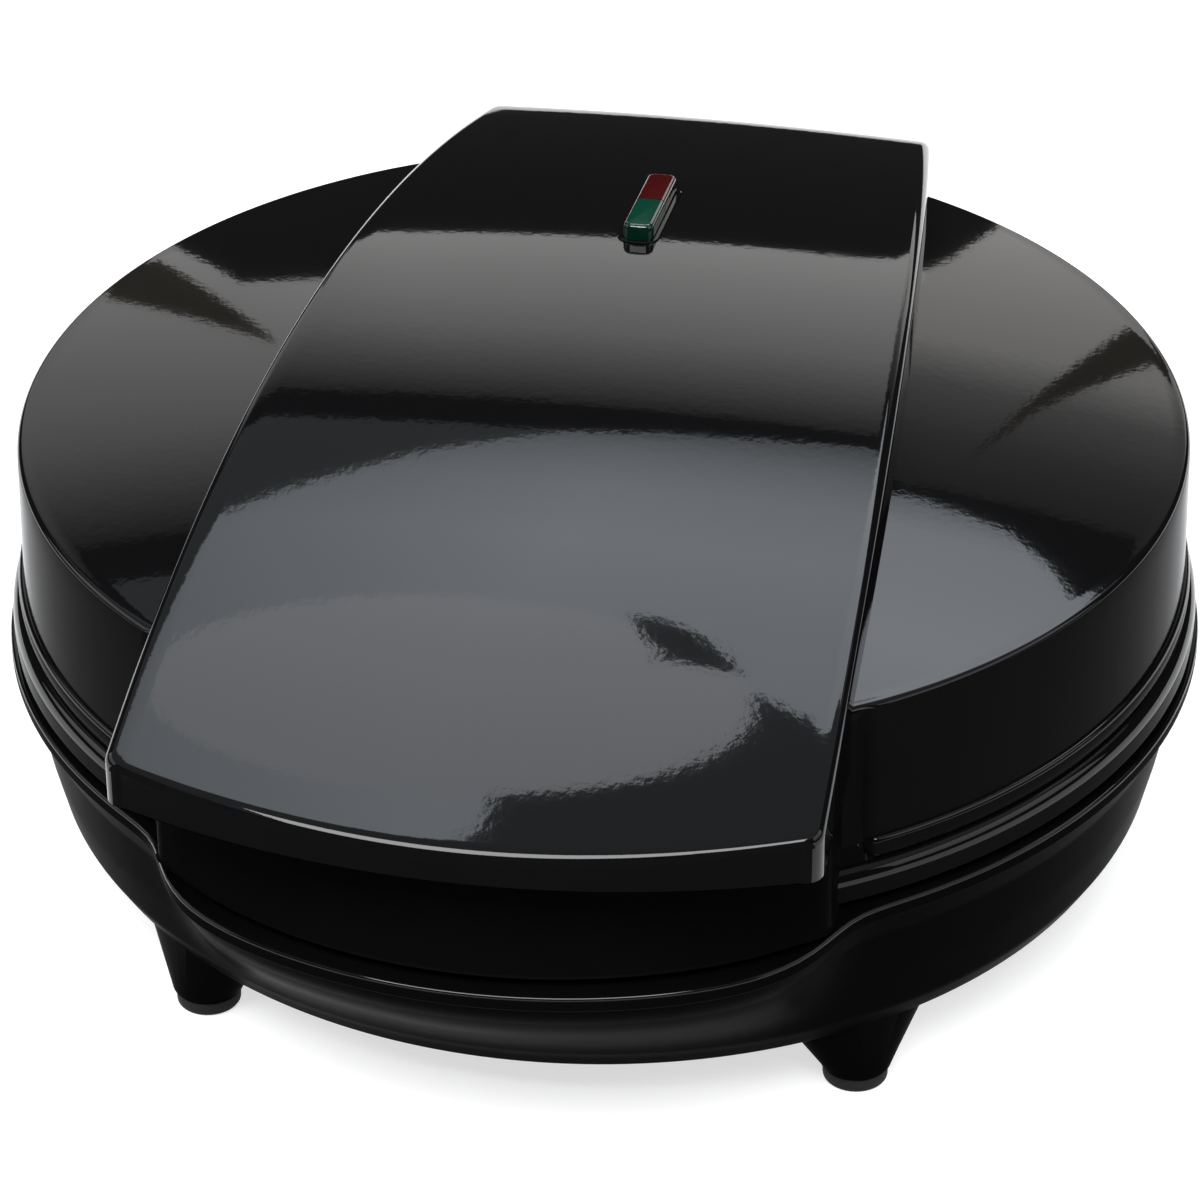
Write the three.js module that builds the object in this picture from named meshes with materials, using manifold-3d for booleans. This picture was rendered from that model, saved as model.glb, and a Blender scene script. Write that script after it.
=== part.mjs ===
// Electric muffin maker: a round two-part cooker with a hinged lid, a wide handle band that runs
// over the lid from the hinge to the front lip, and two cast baking plates with seven cups each.
// Millimetres. Z is up, the front is -Y, and the lid's round body is centred on X = 0.

import * as THREE from 'three';
import { mergeVertices } from 'three/addons/utils/BufferGeometryUtils.js';
import Module from 'manifold-3d';

const wasm = await Module();
wasm.setup();

// Driving dimensions: the outline of the whole cooker.
const footHeight = 18;             // floor to the underside of the lower housing
const housingHeight = 38.5;        // lower housing, underside to rim
const seamGap = 2.5;               // dark line between housing rim and lid flange
const lidWallHeight = 41.5;        // lid's lower edge to the edge of the lid's top
const domeRise = 10;               // crown of the lid over its edge
const lidRadius = 120.9;           // lid at its top edge, before the edge is rounded
const lidDraft = 0.5;              // how much wider the lid wall is at its foot
const flangeOverhang = 3.2;        // rim of the lid, past its top edge
const beadOverhang = 0.9;          // rim of the housing, past the lid's rim
const lipOverhang = 30.7;          // front edge of the handle lip, past the lid's top edge
const hingeOffset = 10.1;          // lid's top edge to the hinge axis
const hingeCoverReach = 8;         // hinge axis to the back of the hinge cover
const wall = 2.4;                  // moulded wall of lid, band and housing
const fitGap = 0.3;                // air between two pieces that seat on each other
const overrun = 1;                 // how far a cutting body reaches past the surface it cuts

// Driving dimensions: the baking plates and the hinge.
const ringCupCount = 6;            // cups round the middle cup
const plateInset = 2.9;            // lid's top edge to the plates' edge
const plateMargin = 19;            // plates' edge to the mouths of the outer cups
const cupGap = 12;                 // between the mouths of neighbouring cups
const plateThickness = 3;
const cupUnderRoom = 19;           // floor of the lower cups to the housing's underside, less the plate's seat
const upperCupDepth = 12;
const pinRadius = 2.4;

// Reaches and heights that follow from them.
const flangeRadius = lidRadius + flangeOverhang;
const beadRadius = flangeRadius + beadOverhang;
const frontReach = lidRadius + lipOverhang;
const hingeBehindAxis = lidRadius + hingeOffset;
const rearReach = hingeBehindAxis + hingeCoverReach;
const plateRadius = lidRadius - plateInset;
const cupMouthRadius = (plateRadius - plateMargin - cupGap) / 3;
const cupRingRadius = 2 * cupMouthRadius + cupGap;
const lowerCupDepth = housingHeight - cupUnderRoom;
const seamHeight = footHeight + housingHeight;
const flangeBottom = seamHeight + seamGap;
const lidEdgeHeight = flangeBottom + lidWallHeight;
const hingeHeight = seamHeight + seamGap / 2;

// Facet counts.
const bodySegments = 36;
const cupSegments = 14;
const shieldSegments = 24;
const pocketSegments = 20;
const smallSegments = 12;
const screwSegments = 8;
const arcSteps = 5;
const edgeSteps = 3;

// Finishes.
const finish = (name, color, roughness, metalness, extra = {}) =>
  new THREE.MeshStandardMaterial({ name, color, roughness, metalness, ...extra });
const glossBlack = finish('gloss_black', 0x0b0b0c, 0.12, 0);
const satinBlack = finish('satin_black', 0x131314, 0.38, 0);
const nonStick = finish('non_stick', 0x1c1c1d, 0.45, 0.2);
const sheetSteel = finish('sheet_steel', 0xb9bcc0, 0.35, 1);
const heaterSteel = finish('heater_steel', 0x4a4440, 0.5, 1);
const screwSteel = finish('screw_steel', 0xc6c8cb, 0.25, 1);
const rubber = finish('rubber', 0x1a1a1a, 0.85, 0);
const ceramic = finish('ceramic', 0xe8e4d8, 0.6, 0);
const redLens = finish('red_lens', 0x8c1410, 0.1, 0, { transparent: true, opacity: 0.9 });
const greenLens = finish('green_lens', 0x0c5a34, 0.1, 0, { transparent: true, opacity: 0.9 });
const lampGlass = finish('lamp_glass', 0xe9d9c8, 0.1, 0, { transparent: true, opacity: 0.5 });

// Solids: geometry in, geometry out, with joins and cuts between them. Faces that turn inwards are reversed.
const weldDistance = 1e-4;

function toSolid(geometry) {
  const bare = new THREE.BufferGeometry();
  bare.setAttribute('position', geometry.getAttribute('position').clone());
  if (geometry.getIndex()) bare.setIndex(geometry.getIndex().clone());
  const welded = mergeVertices(bare, weldDistance);
  const corners = welded.getAttribute('position').array;
  const all = welded.getIndex().array;
  const faces = [];
  let volume = 0;
  for (let i = 0; i < all.length; i += 3) {
    const [a, b, c] = all.subarray(i, i + 3);
    if (a === b || b === c || c === a) continue;
    faces.push(a, b, c);
    const [p, q, r] = [a, b, c].map((k) => new THREE.Vector3().fromArray(corners, 3 * k));
    volume += p.dot(q.cross(r));
  }
  if (volume < 0) faces.reverse();
  return new wasm.Manifold(new wasm.Mesh({
    numProp: 3,
    vertProperties: new Float32Array(corners),
    triVerts: new Uint32Array(faces),
  }));
}

function toGeometry(solid) {
  const mesh = solid.getMesh();
  const geometry = new THREE.BufferGeometry();
  geometry.setAttribute('position', new THREE.BufferAttribute(new Float32Array(mesh.vertProperties), 3));
  geometry.setIndex(new THREE.BufferAttribute(new Uint32Array(mesh.triVerts), 1));
  geometry.computeVertexNormals();
  return geometry;
}

const joined = (first, ...others) => others.reduce((sum, next) => sum.add(next), first);
const cut = (first, ...others) => others.reduce((rest, next) => rest.subtract(next), first);

// Basic bodies, each a solid.
function revolved(points, segments = bodySegments) {
  const lathe = new THREE.LatheGeometry(points.map(([r, z]) => new THREE.Vector2(r, z)), segments);
  lathe.rotateX(Math.PI / 2);
  return toSolid(lathe);
}

function disc(radius, low, high, x = 0, y = 0, segments = smallSegments) {
  const body = new THREE.CylinderGeometry(radius, radius, high - low, segments);
  body.rotateX(Math.PI / 2);
  body.translate(x, y, (low + high) / 2);
  return toSolid(body);
}

function block(low, high) {
  const size = high.map((value, k) => value - low[k]);
  const body = new THREE.BoxGeometry(...size);
  body.translate(...high.map((value, k) => (value + low[k]) / 2));
  return toSolid(body);
}

// A rod along X between two values of x.
function rodX(radius, from, to, y, z, segments = smallSegments) {
  const body = new THREE.CylinderGeometry(radius, radius, Math.abs(to - from), segments);
  body.rotateZ(Math.PI / 2);
  body.translate((from + to) / 2, y, z);
  return toSolid(body);
}

// A flat outline in X and Y, raised from one height to another.
function raised(shape, low, high) {
  const body = new THREE.ExtrudeGeometry(shape, {
    depth: high - low, bevelEnabled: false, curveSegments: arcSteps,
  });
  body.translate(0, 0, low);
  return toSolid(body);
}

// A flat outline in Y and Z, run along X.
function runAlongX(shape, from, to) {
  const body = new THREE.ExtrudeGeometry(shape, {
    depth: to - from, bevelEnabled: false, curveSegments: arcSteps,
  });
  body.rotateZ(Math.PI / 2);
  body.rotateY(Math.PI / 2);
  body.translate(from, 0, 0);
  return toSolid(body);
}

// A closed body between rings of points; every ring has the same count, and the last may meet the first.
function loft(rings, closed = false) {
  const count = rings[0].length;
  const positions = rings.flat(2);
  const faces = [];
  const bands = closed ? rings.length : rings.length - 1;
  for (let j = 0; j < bands; j += 1) {
    const here = j * count;
    const next = ((j + 1) % rings.length) * count;
    for (let i = 0; i < count; i += 1) {
      const k = (i + 1) % count;
      faces.push(here + i, here + k, next + k, here + i, next + k, next + i);
    }
  }
  if (!closed) {
    const last = (rings.length - 1) * count;
    for (let i = 1; i < count - 1; i += 1) {
      faces.push(0, i + 1, i);
      faces.push(last, last + i, last + i + 1);
    }
  }
  const geometry = new THREE.BufferGeometry();
  geometry.setAttribute('position', new THREE.Float32BufferAttribute(positions, 3));
  geometry.setIndex(faces);
  return toSolid(geometry);
}

// A slab between a top grid and a bottom grid of the same rows and columns.
function slab(rows, columns, top, bottom) {
  const rings = [];
  for (let j = 0; j < rows; j += 1) {
    const ring = [];
    for (let i = 0; i < columns; i += 1) ring.push(bottom(i, j));
    for (let i = columns - 1; i >= 0; i -= 1) ring.push(top(i, j));
    rings.push(ring);
  }
  const count = 2 * columns;
  const positions = rings.flat(2);
  const faces = [];
  for (let j = 0; j < rows - 1; j += 1) {
    for (let i = 0; i < count; i += 1) {
      const k = (i + 1) % count;
      const here = j * count;
      const next = here + count;
      faces.push(here + i, next + k, here + k, here + i, next + i, next + k);
    }
  }
  const last = (rows - 1) * count;
  for (let i = 0; i < columns - 1; i += 1) {
    const a = i;
    const b = i + 1;
    const c = count - 2 - i;
    const d = count - 1 - i;
    faces.push(a, b, c, a, c, d);
    faces.push(last + a, last + c, last + b, last + a, last + d, last + c);
  }
  const geometry = new THREE.BufferGeometry();
  geometry.setAttribute('position', new THREE.Float32BufferAttribute(positions, 3));
  geometry.setIndex(faces);
  return toSolid(geometry);
}

const around = (radius, angle) => [radius * Math.cos(angle), radius * Math.sin(angle)];
const degrees = (value) => THREE.MathUtils.degToRad(value);
const lerp = THREE.MathUtils.lerp;
const smooth = THREE.MathUtils.smoothstep;

// Round the corner a-b-c with a curve, in the given number of steps.
function rounded(a, b, c, steps) {
  const curve = new THREE.QuadraticBezierCurve(
    new THREE.Vector2(...a), new THREE.Vector2(...b), new THREE.Vector2(...c));
  return curve.getPoints(steps).map((p) => [p.x, p.y]);
}

const cooker = new THREE.Group();
const baseGroup = new THREE.Group();
const lidGroup = new THREE.Group();
cooker.add(baseGroup, lidGroup);
cooker.position.y = (frontReach - rearReach) / 2;

function add(group, name, solid, material) {
  const mesh = new THREE.Mesh(toGeometry(solid), material);
  mesh.name = name;
  group.add(mesh);
  return mesh;
}

// A rod along Y, and one that points away from the lid axis at an angle and a height.
function rodY(radius, from, to, x, z, segments = smallSegments) {
  const body = new THREE.CylinderGeometry(radius, radius, to - from, segments);
  body.translate(x, (from + to) / 2, z);
  return toSolid(body);
}

function rodOut(radius, from, to, angle, z, segments = smallSegments) {
  const body = new THREE.CylinderGeometry(radius, radius, to - from, segments);
  body.rotateZ(-Math.PI / 2);
  body.translate((from + to) / 2, 0, z);
  body.rotateZ(angle);
  return toSolid(body);
}

// A screw with its head's underside at zero and its shank along +Z.
const screwHeadRadius = 3.5;
const screwHeadHeight = 1.8;
const screwShankRadius = 1.6;
const screwHoleRadius = 1.9;

function screw(length) {
  return revolved([
    [0, -screwHeadHeight], [screwHeadRadius, -screwHeadHeight], [screwHeadRadius, 0],
    [screwShankRadius, 0], [screwShankRadius, length], [0, length],
  ], screwSegments);
}

// Lid. Its skin runs from the crown over the rounded edge, down the drafted wall, over a half-round
// bead at the wall's foot, and out to the rim.
const lidEdgeRound = 4;
const rimHeight = 6.5;
const rimRound = 0.6;
const footBeadGap = 0.6;           // lid's rim up to the half-round bead at the wall's foot
const footBeadHeight = 4.6;
const footBeadProud = 1.2;
const footBeadShares = [[0.25, 0.95], [0.75, 0.95]];
const domeShares = [0, 0.45, 0.8];
const hollowShares = [1, 0.6, 0];
const plateSlack = 0.5;            // air round the edge of each baking plate
const ledgeWidth = 3;              // shelf that each plate rests against
const ledgeHeight = 2.4;

const domeHeight = (r) => lidEdgeHeight + domeRise * (1 - (r / lidRadius) ** 2);

function lidSkin(grow) {
  const edgeStart = lidRadius - lidEdgeRound;
  const rimTop = flangeBottom + rimHeight;
  const beadFoot = rimTop + footBeadGap;
  const foot = lidRadius + lidDraft;
  const points = domeShares.map((share) => [share * edgeStart, domeHeight(share * edgeStart)]);
  points.push(...rounded([edgeStart, domeHeight(edgeStart)], [lidRadius, lidEdgeHeight],
    [lidRadius, lidEdgeHeight - lidEdgeRound], edgeSteps));
  points.push([foot, beadFoot + footBeadHeight]);
  footBeadShares.forEach(([down, out]) => {
    points.push([foot + out * footBeadProud, beadFoot + (1 - down) * footBeadHeight]);
  });
  points.push([foot, beadFoot], [foot, rimTop]);
  points.push([flangeRadius - rimRound, rimTop], [flangeRadius, rimTop - rimRound],
    [flangeRadius, flangeBottom]);
  return points.map(([r, z]) => [r === 0 ? 0 : r + grow, z + grow]);
}

function lidBody(grow) {
  return revolved([...lidSkin(grow), [flangeRadius + grow, flangeBottom - grow], [0, flangeBottom - grow]]);
}

const upperPlateFace = seamHeight + seamGap / 2 + fitGap;
const upperPlateBack = upperPlateFace + plateThickness;
const lowerPlateFace = seamHeight + seamGap / 2 - fitGap;
const lowerPlateBack = lowerPlateFace - plateThickness;

function lidHollow() {
  const opening = plateRadius + plateSlack;
  const ledge = upperPlateBack + fitGap;
  const inside = lidRadius - wall;
  const edgeStart = inside - lidEdgeRound;
  const points = [
    [0, flangeBottom - overrun], [opening, flangeBottom - overrun], [opening, ledge],
    [opening - ledgeWidth, ledge], [opening - ledgeWidth, ledge + ledgeHeight],
    [opening, ledge + ledgeHeight + ledgeWidth / 2],
    [inside, lidEdgeHeight - lidEdgeRound],
  ];
  points.push(...hollowShares.map((share) => [share * edgeStart, domeHeight(share * edgeStart) - wall]));
  return revolved(points);
}

// The plates are held by three screws each, on a circle between the outer cups.
const plateScrewInset = 21;        // plates' edge to the circle of their screws
const plateScrewRadius = plateRadius - plateScrewInset;
const plateScrewAngles = [90, 210, 330].map(degrees);
const lidPostRadius = 5;
const lidPostBore = 10;

// Hinge knuckle of the lid, and the two lugs of the housing on either side of it.
const knuckleRadius = 7;
const knuckleHalf = 30.8;
const knuckleTop = 24;             // hinge axis to the top of the knuckle block
const knuckleShoulder = 16;
const lugRadius = 7.5;
const lugWidth = 10;
const lugGap = 0.5;
const pocketGap = 1;               // air round the knuckle in the housing
const pinSlack = 0.3;
const pinReach = 16;               // how far each pin goes into the knuckle
const pinHeadRadius = 4.2;
const pinHeadLength = 1.6;

function knuckleBlock() {
  const inner = lidRadius - 2 * wall;
  const above = upperPlateBack + 3 * fitGap;
  const shape = new THREE.Shape();
  shape.moveTo(inner, above);
  shape.lineTo(inner, hingeHeight + knuckleTop);
  shape.lineTo(lidRadius + 2 * wall, hingeHeight + knuckleTop);
  shape.lineTo(hingeBehindAxis + knuckleRadius / 2, hingeHeight + knuckleShoulder);
  shape.lineTo(hingeBehindAxis + knuckleRadius, hingeHeight);
  shape.absarc(hingeBehindAxis, hingeHeight, knuckleRadius, 0, -Math.PI, true);
  shape.lineTo(hingeBehindAxis - knuckleRadius, above);
  shape.closePath();
  const bore = rodX(pinRadius + pinSlack, -knuckleHalf - overrun, knuckleHalf + overrun,
    hingeBehindAxis, hingeHeight);
  return [runAlongX(shape, -knuckleHalf, knuckleHalf), bore];
}

function lidShell() {
  const posts = plateScrewAngles.map((angle) => {
    const [x, y] = around(plateScrewRadius, angle);
    return disc(lidPostRadius, upperPlateBack + fitGap, domeHeight(plateScrewRadius) - wall / 2, x, y);
  });
  const postBores = plateScrewAngles.map((angle) => {
    const [x, y] = around(plateScrewRadius, angle);
    return disc(screwHoleRadius, upperPlateBack - overrun, upperPlateBack + lidPostBore, x, y);
  });
  const [block, bore] = knuckleBlock();
  const gripHoles = gripScrewAngles.map((angle) =>
    rodOut(screwHoleRadius, lidRadius - 2 * lidEdgeRound, lidRadius + lidEdgeRound, angle, gripScrewHeight));
  const overCrown = lidEdgeHeight + domeRise + overrun;
  const bandHoles = bandScrewPlaces.map(([x, y]) =>
    disc(screwHoleRadius, lidEdgeHeight - lidEdgeRound, overCrown, x, y, screwSegments));
  const wireHole = disc(lampWireHole, lidEdgeHeight, overCrown, 0, lensPlace, screwSegments);
  return cut(joined(cut(lidBody(0), lidHollow()), block, ...posts),
    bore, ...postBores, ...gripHoles, ...bandHoles, wireHole);
}

// Handle band: crowned across, arched from the front lip to the hinge cover, narrower at the rear.
// Each station value holds at the lip's corners, over the lid axis and where the rear roll starts.
const lipSag = 11.8;               // how far the lip's front edge falls back at its corners
const rollLength = 18;             // rounding of the band's rear end
const bandFrontHalf = 68.1;
const bandMidHalf = 62.6;
const bandRearHalf = 50.9;
const bandFrontRise = -3.1;        // over the edge of the lid's top
const bandMidRise = 20.9;
const bandRearRise = 6.3;
const bandCrown = 1.2;
const bandEdgeRound = 2.6;
const lipThickness = 7.4;
const skirtDrop = 29.5;            // lid's edge down to the skirt at the band's rear
const skirtInset = 16.9;
const skirtRamp = 6;
const bandRows = 10;
const rollSteps = 4;
const bandColumnShares = [-0.6, -0.3, 0, 0.3, 0.6];
const hollowColumnShares = [-0.5, 0, 0.5];
const edgeRoundShares = [[0, 1], [0.3, 0.3], [1, 0]];
const hollowEdgeShares = [[0, 1], [1, 0]];

const lipCorner = frontReach - lipSag;
const rollStart = rearReach - rollLength;
const skirtBottom = lidEdgeHeight - skirtDrop;
const skirtStart = lidRadius - skirtInset;
const lipBottom = lidEdgeHeight + bandFrontRise + bandCrown / 2 - bandEdgeRound - lipThickness;

// A parabola through three values, at the lip's corners, over the lid axis and at the roll.
function bend(front, middle, rear) {
  const curve = -((middle - rear) / rollStart + (middle - front) / lipCorner) / (lipCorner + rollStart);
  const slope = curve * lipCorner + (middle - front) / lipCorner;
  return (y) => middle + slope * y + curve * y * y;
}

const bandHalf = bend(bandFrontHalf, bandMidHalf, bandRearHalf);
const bandRise = bend(bandFrontRise, bandMidRise, bandRearRise);
const bandTop = (x, y) => lidEdgeHeight + bandRise(y) + bandCrown * (1 - (x / bandHalf(y)) ** 2);
const lipFront = (x) => -frontReach + lipSag * (x / bandFrontHalf) ** 2;

// The band's outer body, or with an inset the hollow inside it.
function bandBody(inset, below) {
  const edge = bandEdgeRound;
  const edgeShares = inset > 0 ? hollowEdgeShares : edgeRoundShares;
  const middleShares = inset > 0 ? hollowColumnShares : bandColumnShares;
  const columns = [
    ...edgeShares.map(([side, drop]) => ({ share: -1, side: side * edge, drop: drop * edge })),
    ...middleShares.map((share) => ({ share, side: 0, drop: 0 })),
    ...edgeShares.toReversed().map(([side, drop]) => (
      { share: 1, side: side * edge, drop: drop * edge })),
  ];
  const rows = edgeShares.map(([back, drop]) => (
    { along: 0, back: back * edge, drop: drop * edge, roll: 0 }));
  for (let k = 1; k <= bandRows; k += 1) rows.push({ along: k / bandRows, back: 0, drop: 0, roll: 0 });
  for (let k = 1; k <= rollSteps; k += 1) {
    rows.push({ along: 1, back: 0, drop: 0, roll: (k / rollSteps) * Math.PI / 2 });
  }

  const place = (i, j) => {
    const { share, side, drop: sideDrop } = columns[i];
    const { along, back, drop: frontDrop, roll } = rows[j];
    const rollReach = rollLength - inset;
    const across = (half) => share * (half - inset) - Math.sign(share) * side;
    const front = lipFront(across(bandFrontHalf)) + inset + (along === 0 ? back : edge);
    const y = lerp(front, rollStart, along) + rollReach * Math.sin(roll);
    const x = across(bandHalf(y));
    const fall = Math.max(sideDrop, frontDrop) + rollReach * (1 - Math.cos(roll));
    return [x, y, bandTop(x, y) - inset - fall];
  };
  const floor = (i, j) => {
    const [x, y] = place(i, j);
    const low = lerp(lipBottom, skirtBottom, smooth(y, skirtStart, skirtStart + skirtRamp));
    return [x, y, low - below];
  };
  return slab(rows.length, columns.length, place, floor);
}

// Indicator window: a slot in the band, a thin bezel and a proud lens block of two halves.
const lensLength = 31;
const lensWidth = 7.2;
const lensCorner = 2.4;
const lensInset = 69.3;            // lid's top edge to the middle of the lens
const lensPlace = lidRadius - lensInset;
const bezelWidth = 0.8;
const bezelProud = 0.1;
const lensProud = 3.4;
const lensDepth = 3.5;
const lensBevel = 0.7;
const lampWireHole = 3;

const lensHeight = bandTop(0, lensPlace);
const lensTilt = Math.atan2(bandTop(0, lensPlace + overrun) - lensHeight, overrun);

function slot(length, width, grow) {
  const radius = lensCorner + grow;
  const half = length / 2 - lensCorner;
  const side = width / 2 - lensCorner;
  const shape = new THREE.Shape();
  [[side, half], [-side, half], [-side, -half], [side, -half]].forEach(([x, y], k) => {
    shape.absarc(x, y, radius, (k * Math.PI) / 2, ((k + 1) * Math.PI) / 2, false);
  });
  shape.closePath();
  return shape;
}

// Screws that hold the band from inside the lid, and the front grip from inside the lid wall.
const bandScrewSideInset = 8.9;
const bandScrewFrontInset = 58.9;
const bandScrewRearInset = 46.9;
const bandScrewX = bandRearHalf - bandScrewSideInset;
const bandScrewFront = lidRadius - bandScrewFrontInset;
const bandScrewRear = lidRadius - bandScrewRearInset;
const bandScrewPlaces = [
  [-bandScrewX, -bandScrewFront], [bandScrewX, -bandScrewFront],
  [-bandScrewX, bandScrewRear], [bandScrewX, bandScrewRear],
];
const bossRadius = 4.4;
const gripScrewAngle = 20;
const gripScrewAngles = [-90 - gripScrewAngle, -90 + gripScrewAngle].map(degrees);
const gripScrewDrop = 22.5;
const gripScrewHeight = lidEdgeHeight - gripScrewDrop;
const gripScrewLength = 12;
const wallFacetSlack = 0.9;        // keeps the screws' heads clear of the lid wall's flats

const bandScrewSeat = (x, y) => domeHeight(Math.hypot(x, y)) - wall - 3 * fitGap;
const bandBoreTop = (x, y) => bandTop(x, y) - 2 * wall;

function handleBand() {
  const bosses = bandScrewPlaces.map(([x, y]) =>
    disc(bossRadius, lidEdgeHeight, bandTop(x, y) - wall / 2, x, y, screwSegments));
  const bores = bandScrewPlaces.map(([x, y]) =>
    disc(screwHoleRadius, lidEdgeHeight - overrun, bandBoreTop(x, y), x, y, screwSegments));
  const window = raised(slot(lensLength, lensWidth, bezelWidth + fitGap), -2 * wall, 2 * wall)
    .rotate([THREE.MathUtils.radToDeg(lensTilt), 0, 0]).translate([0, lensPlace, lensHeight]);
  const shell = cut(bandBody(0, 0), bandBody(wall, overrun));
  return cut(joined(shell, ...bosses), lidBody(fitGap), ...bores, window);
}

// Front grip: the curved apron under the lip, with a deck that closes the lip's underside.
const gripInset = 11.6;            // the lip's overhang past the apron
const gripSideInset = 1.8;
const gripReach = frontReach - gripInset;
const gripArc = 100;
const gripHalf = bandFrontHalf - gripSideInset;
const gripCorner = 6;

// Distance from the lid's axis to the apron's face, at an angle from straight ahead.
function gripFace(off) {
  const centre = gripReach - gripArc;
  return centre * Math.cos(off) + Math.sqrt(gripArc ** 2 - (centre * Math.sin(off)) ** 2);
}

function gripOutline(inset) {
  const radius = gripArc - inset;
  const half = gripHalf - inset;
  const centre = gripArc - gripReach;
  const turn = half - gripCorner;
  const start = Math.asin(turn / radius);
  const depthAt = (x) => centre - Math.sqrt(radius ** 2 - x ** 2);
  const shape = new THREE.Shape();
  shape.moveTo(half, 0);
  shape.lineTo(-half, 0);
  shape.lineTo(-half, depthAt(half) + gripCorner);
  shape.quadraticCurveTo(-half, depthAt(half), -turn, depthAt(turn));
  shape.absarc(0, centre, radius, -Math.PI / 2 - start, -Math.PI / 2 + start, false);
  shape.quadraticCurveTo(half, depthAt(half), half, depthAt(half) + gripCorner);
  shape.closePath();
  return shape;
}

function lipOutline(inset) {
  const shape = new THREE.Shape();
  shape.moveTo(bandHalf(0) - inset, 0);
  shape.lineTo(inset - bandHalf(0), 0);
  [-1, ...hollowColumnShares, 1].forEach((share) => {
    const x = share * (bandFrontHalf - inset);
    shape.lineTo(x, lipFront(x) + inset);
  });
  shape.closePath();
  return shape;
}

function frontGrip() {
  const apronTop = lipBottom - fitGap;
  const apron = cut(raised(gripOutline(0), flangeBottom, apronTop),
    raised(gripOutline(wall), flangeBottom - overrun, apronTop - wall));
  const deck = raised(lipOutline(wall + fitGap), apronTop - fitGap, lipBottom + wall);
  const bossEnd = gripFace(degrees(gripScrewAngle)) - wall / 2;
  const bosses = gripScrewAngles.map((angle) =>
    rodOut(bossRadius, lidRadius, bossEnd, angle, gripScrewHeight, screwSegments));
  const bores = gripScrewAngles.map((angle) =>
    rodOut(screwHoleRadius, lidRadius - overrun, lidRadius + gripScrewLength, angle, gripScrewHeight,
      screwSegments));
  return cut(joined(apron, deck, ...bosses), lidBody(fitGap), ...bores);
}

// Baking plates: a cast disc with seven tapered cups, the same for both with another depth.
const cupTaper = 0.32;             // how much a cup narrows for each unit of depth
const cupFloorRound = 5;
const cupWall = 2.3;
const cupAngles = Array.from({ length: ringCupCount }, (_, k) => degrees((360 * k) / ringCupCount));
const cupPlaces = [[0, 0], ...cupAngles.map((angle) => around(cupRingRadius, angle))];
const plateEdgeRound = 0.8;
const counterboreRadius = 3.9;
const counterboreDepth = 2.1;
const plateBossRadius = 6;
const plateBossHeight = 2.8;
const shieldBossRadius = 5;
const shieldBossHeight = 6;

// One cup, from its mouth at zero down to its floor; with grow it is the metal's outside.
function cup(depth, grow) {
  const floor = -depth - grow;
  const mouth = cupMouthRadius + grow;
  const foot = mouth - cupTaper * depth;
  const points = [[0, floor]];
  points.push(...rounded([foot - cupFloorRound, floor], [foot, floor],
    [foot + cupTaper * cupFloorRound, floor + cupFloorRound], grow > 0 ? 1 : 2));
  points.push([mouth, grow > 0 ? -plateThickness / 2 : 0]);
  if (grow === 0) points.push([mouth + cupTaper * overrun, overrun], [0, overrun]);
  else points.push([0, -plateThickness / 2]);
  return revolved(points, cupSegments);
}

// The plate is made with its face up at zero; the upper one is turned over.
function bakingPlate(depth) {
  const edge = plateRadius - plateEdgeRound;
  const plate = revolved([
    [0, -plateThickness], [edge, -plateThickness], [plateRadius, plateEdgeRound - plateThickness],
    [plateRadius, -plateEdgeRound], [edge, 0], [0, 0],
  ], bodySegments);
  const outsides = cupPlaces.map(([x, y]) => cup(depth, cupWall).translate(x, y, 0));
  const insides = cupPlaces.map(([x, y]) => cup(depth, 0).translate(x, y, 0));
  const under = -depth - cupWall;
  const boss = disc(shieldBossRadius, under - shieldBossHeight, under + cupWall / 2, 0, 0, screwSegments);
  const bossBore = disc(screwHoleRadius, under - shieldBossHeight - overrun, under - overrun / 2, 0, 0,
    screwSegments);
  return cut(joined(plate, ...outsides, boss), ...insides, bossBore);
}

function lowerPlate() {
  const places = plateScrewAngles.map((angle) => around(plateScrewRadius, angle));
  const bosses = places.map(([x, y]) =>
    disc(plateBossRadius, -plateThickness - plateBossHeight, -plateThickness / 2, x, y));
  const bores = places.map(([x, y]) =>
    disc(screwHoleRadius, -plateThickness - plateBossHeight - overrun, -plateThickness / 2, x, y,
      screwSegments));
  return cut(joined(bakingPlate(lowerCupDepth), ...bosses), ...bores);
}

function upperPlate() {
  const places = plateScrewAngles.map((angle) => around(plateScrewRadius, angle));
  const holes = places.map(([x, y]) =>
    disc(screwHoleRadius, -plateThickness - overrun, overrun, x, y, screwSegments));
  const sinks = places.map(([x, y]) => disc(counterboreRadius, -counterboreDepth, overrun, x, y));
  return cut(bakingPlate(upperCupDepth), ...holes, ...sinks);
}

// Lower housing: a shell whose round plan grows a handle lip at the front.
const baseLipReach = 3;            // front of the housing's lip, past the apron
const baseReach = gripReach + baseLipReach;
const baseArc = 110;               // curve of the lip's front
const baseHalf = 72;               // half the lip's width, at its rounded corners
const cornerSharpness = 10;
const blendSharpness = 40;
const bulgeFadeLow = 2.5;          // the lip fades out between these heights over the underside
const bulgeFadeHigh = 33.5;
const waistInset = 3.8;            // rim's edge in to the waist
const waistDrop = 10;              // rim down to the waist under it
const beadEase = 0.7;              // rounding of the rim's upper edge
const beadBelly = 3;               // thickness of the rim's edge
const beadHeight = 4.3;            // rim down to the wall under its edge
const beadStep = 1.6;              // rim's edge in to the wall under it
const housingWall = 2.8;
const bellyInShare = 0.5;          // the wall's swell between waist and heel
const bellyDownShare = 0.42;
const heelInset = 8.4;             // rim's edge in to the foot of the wall
const heelHeight = 6;
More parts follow.
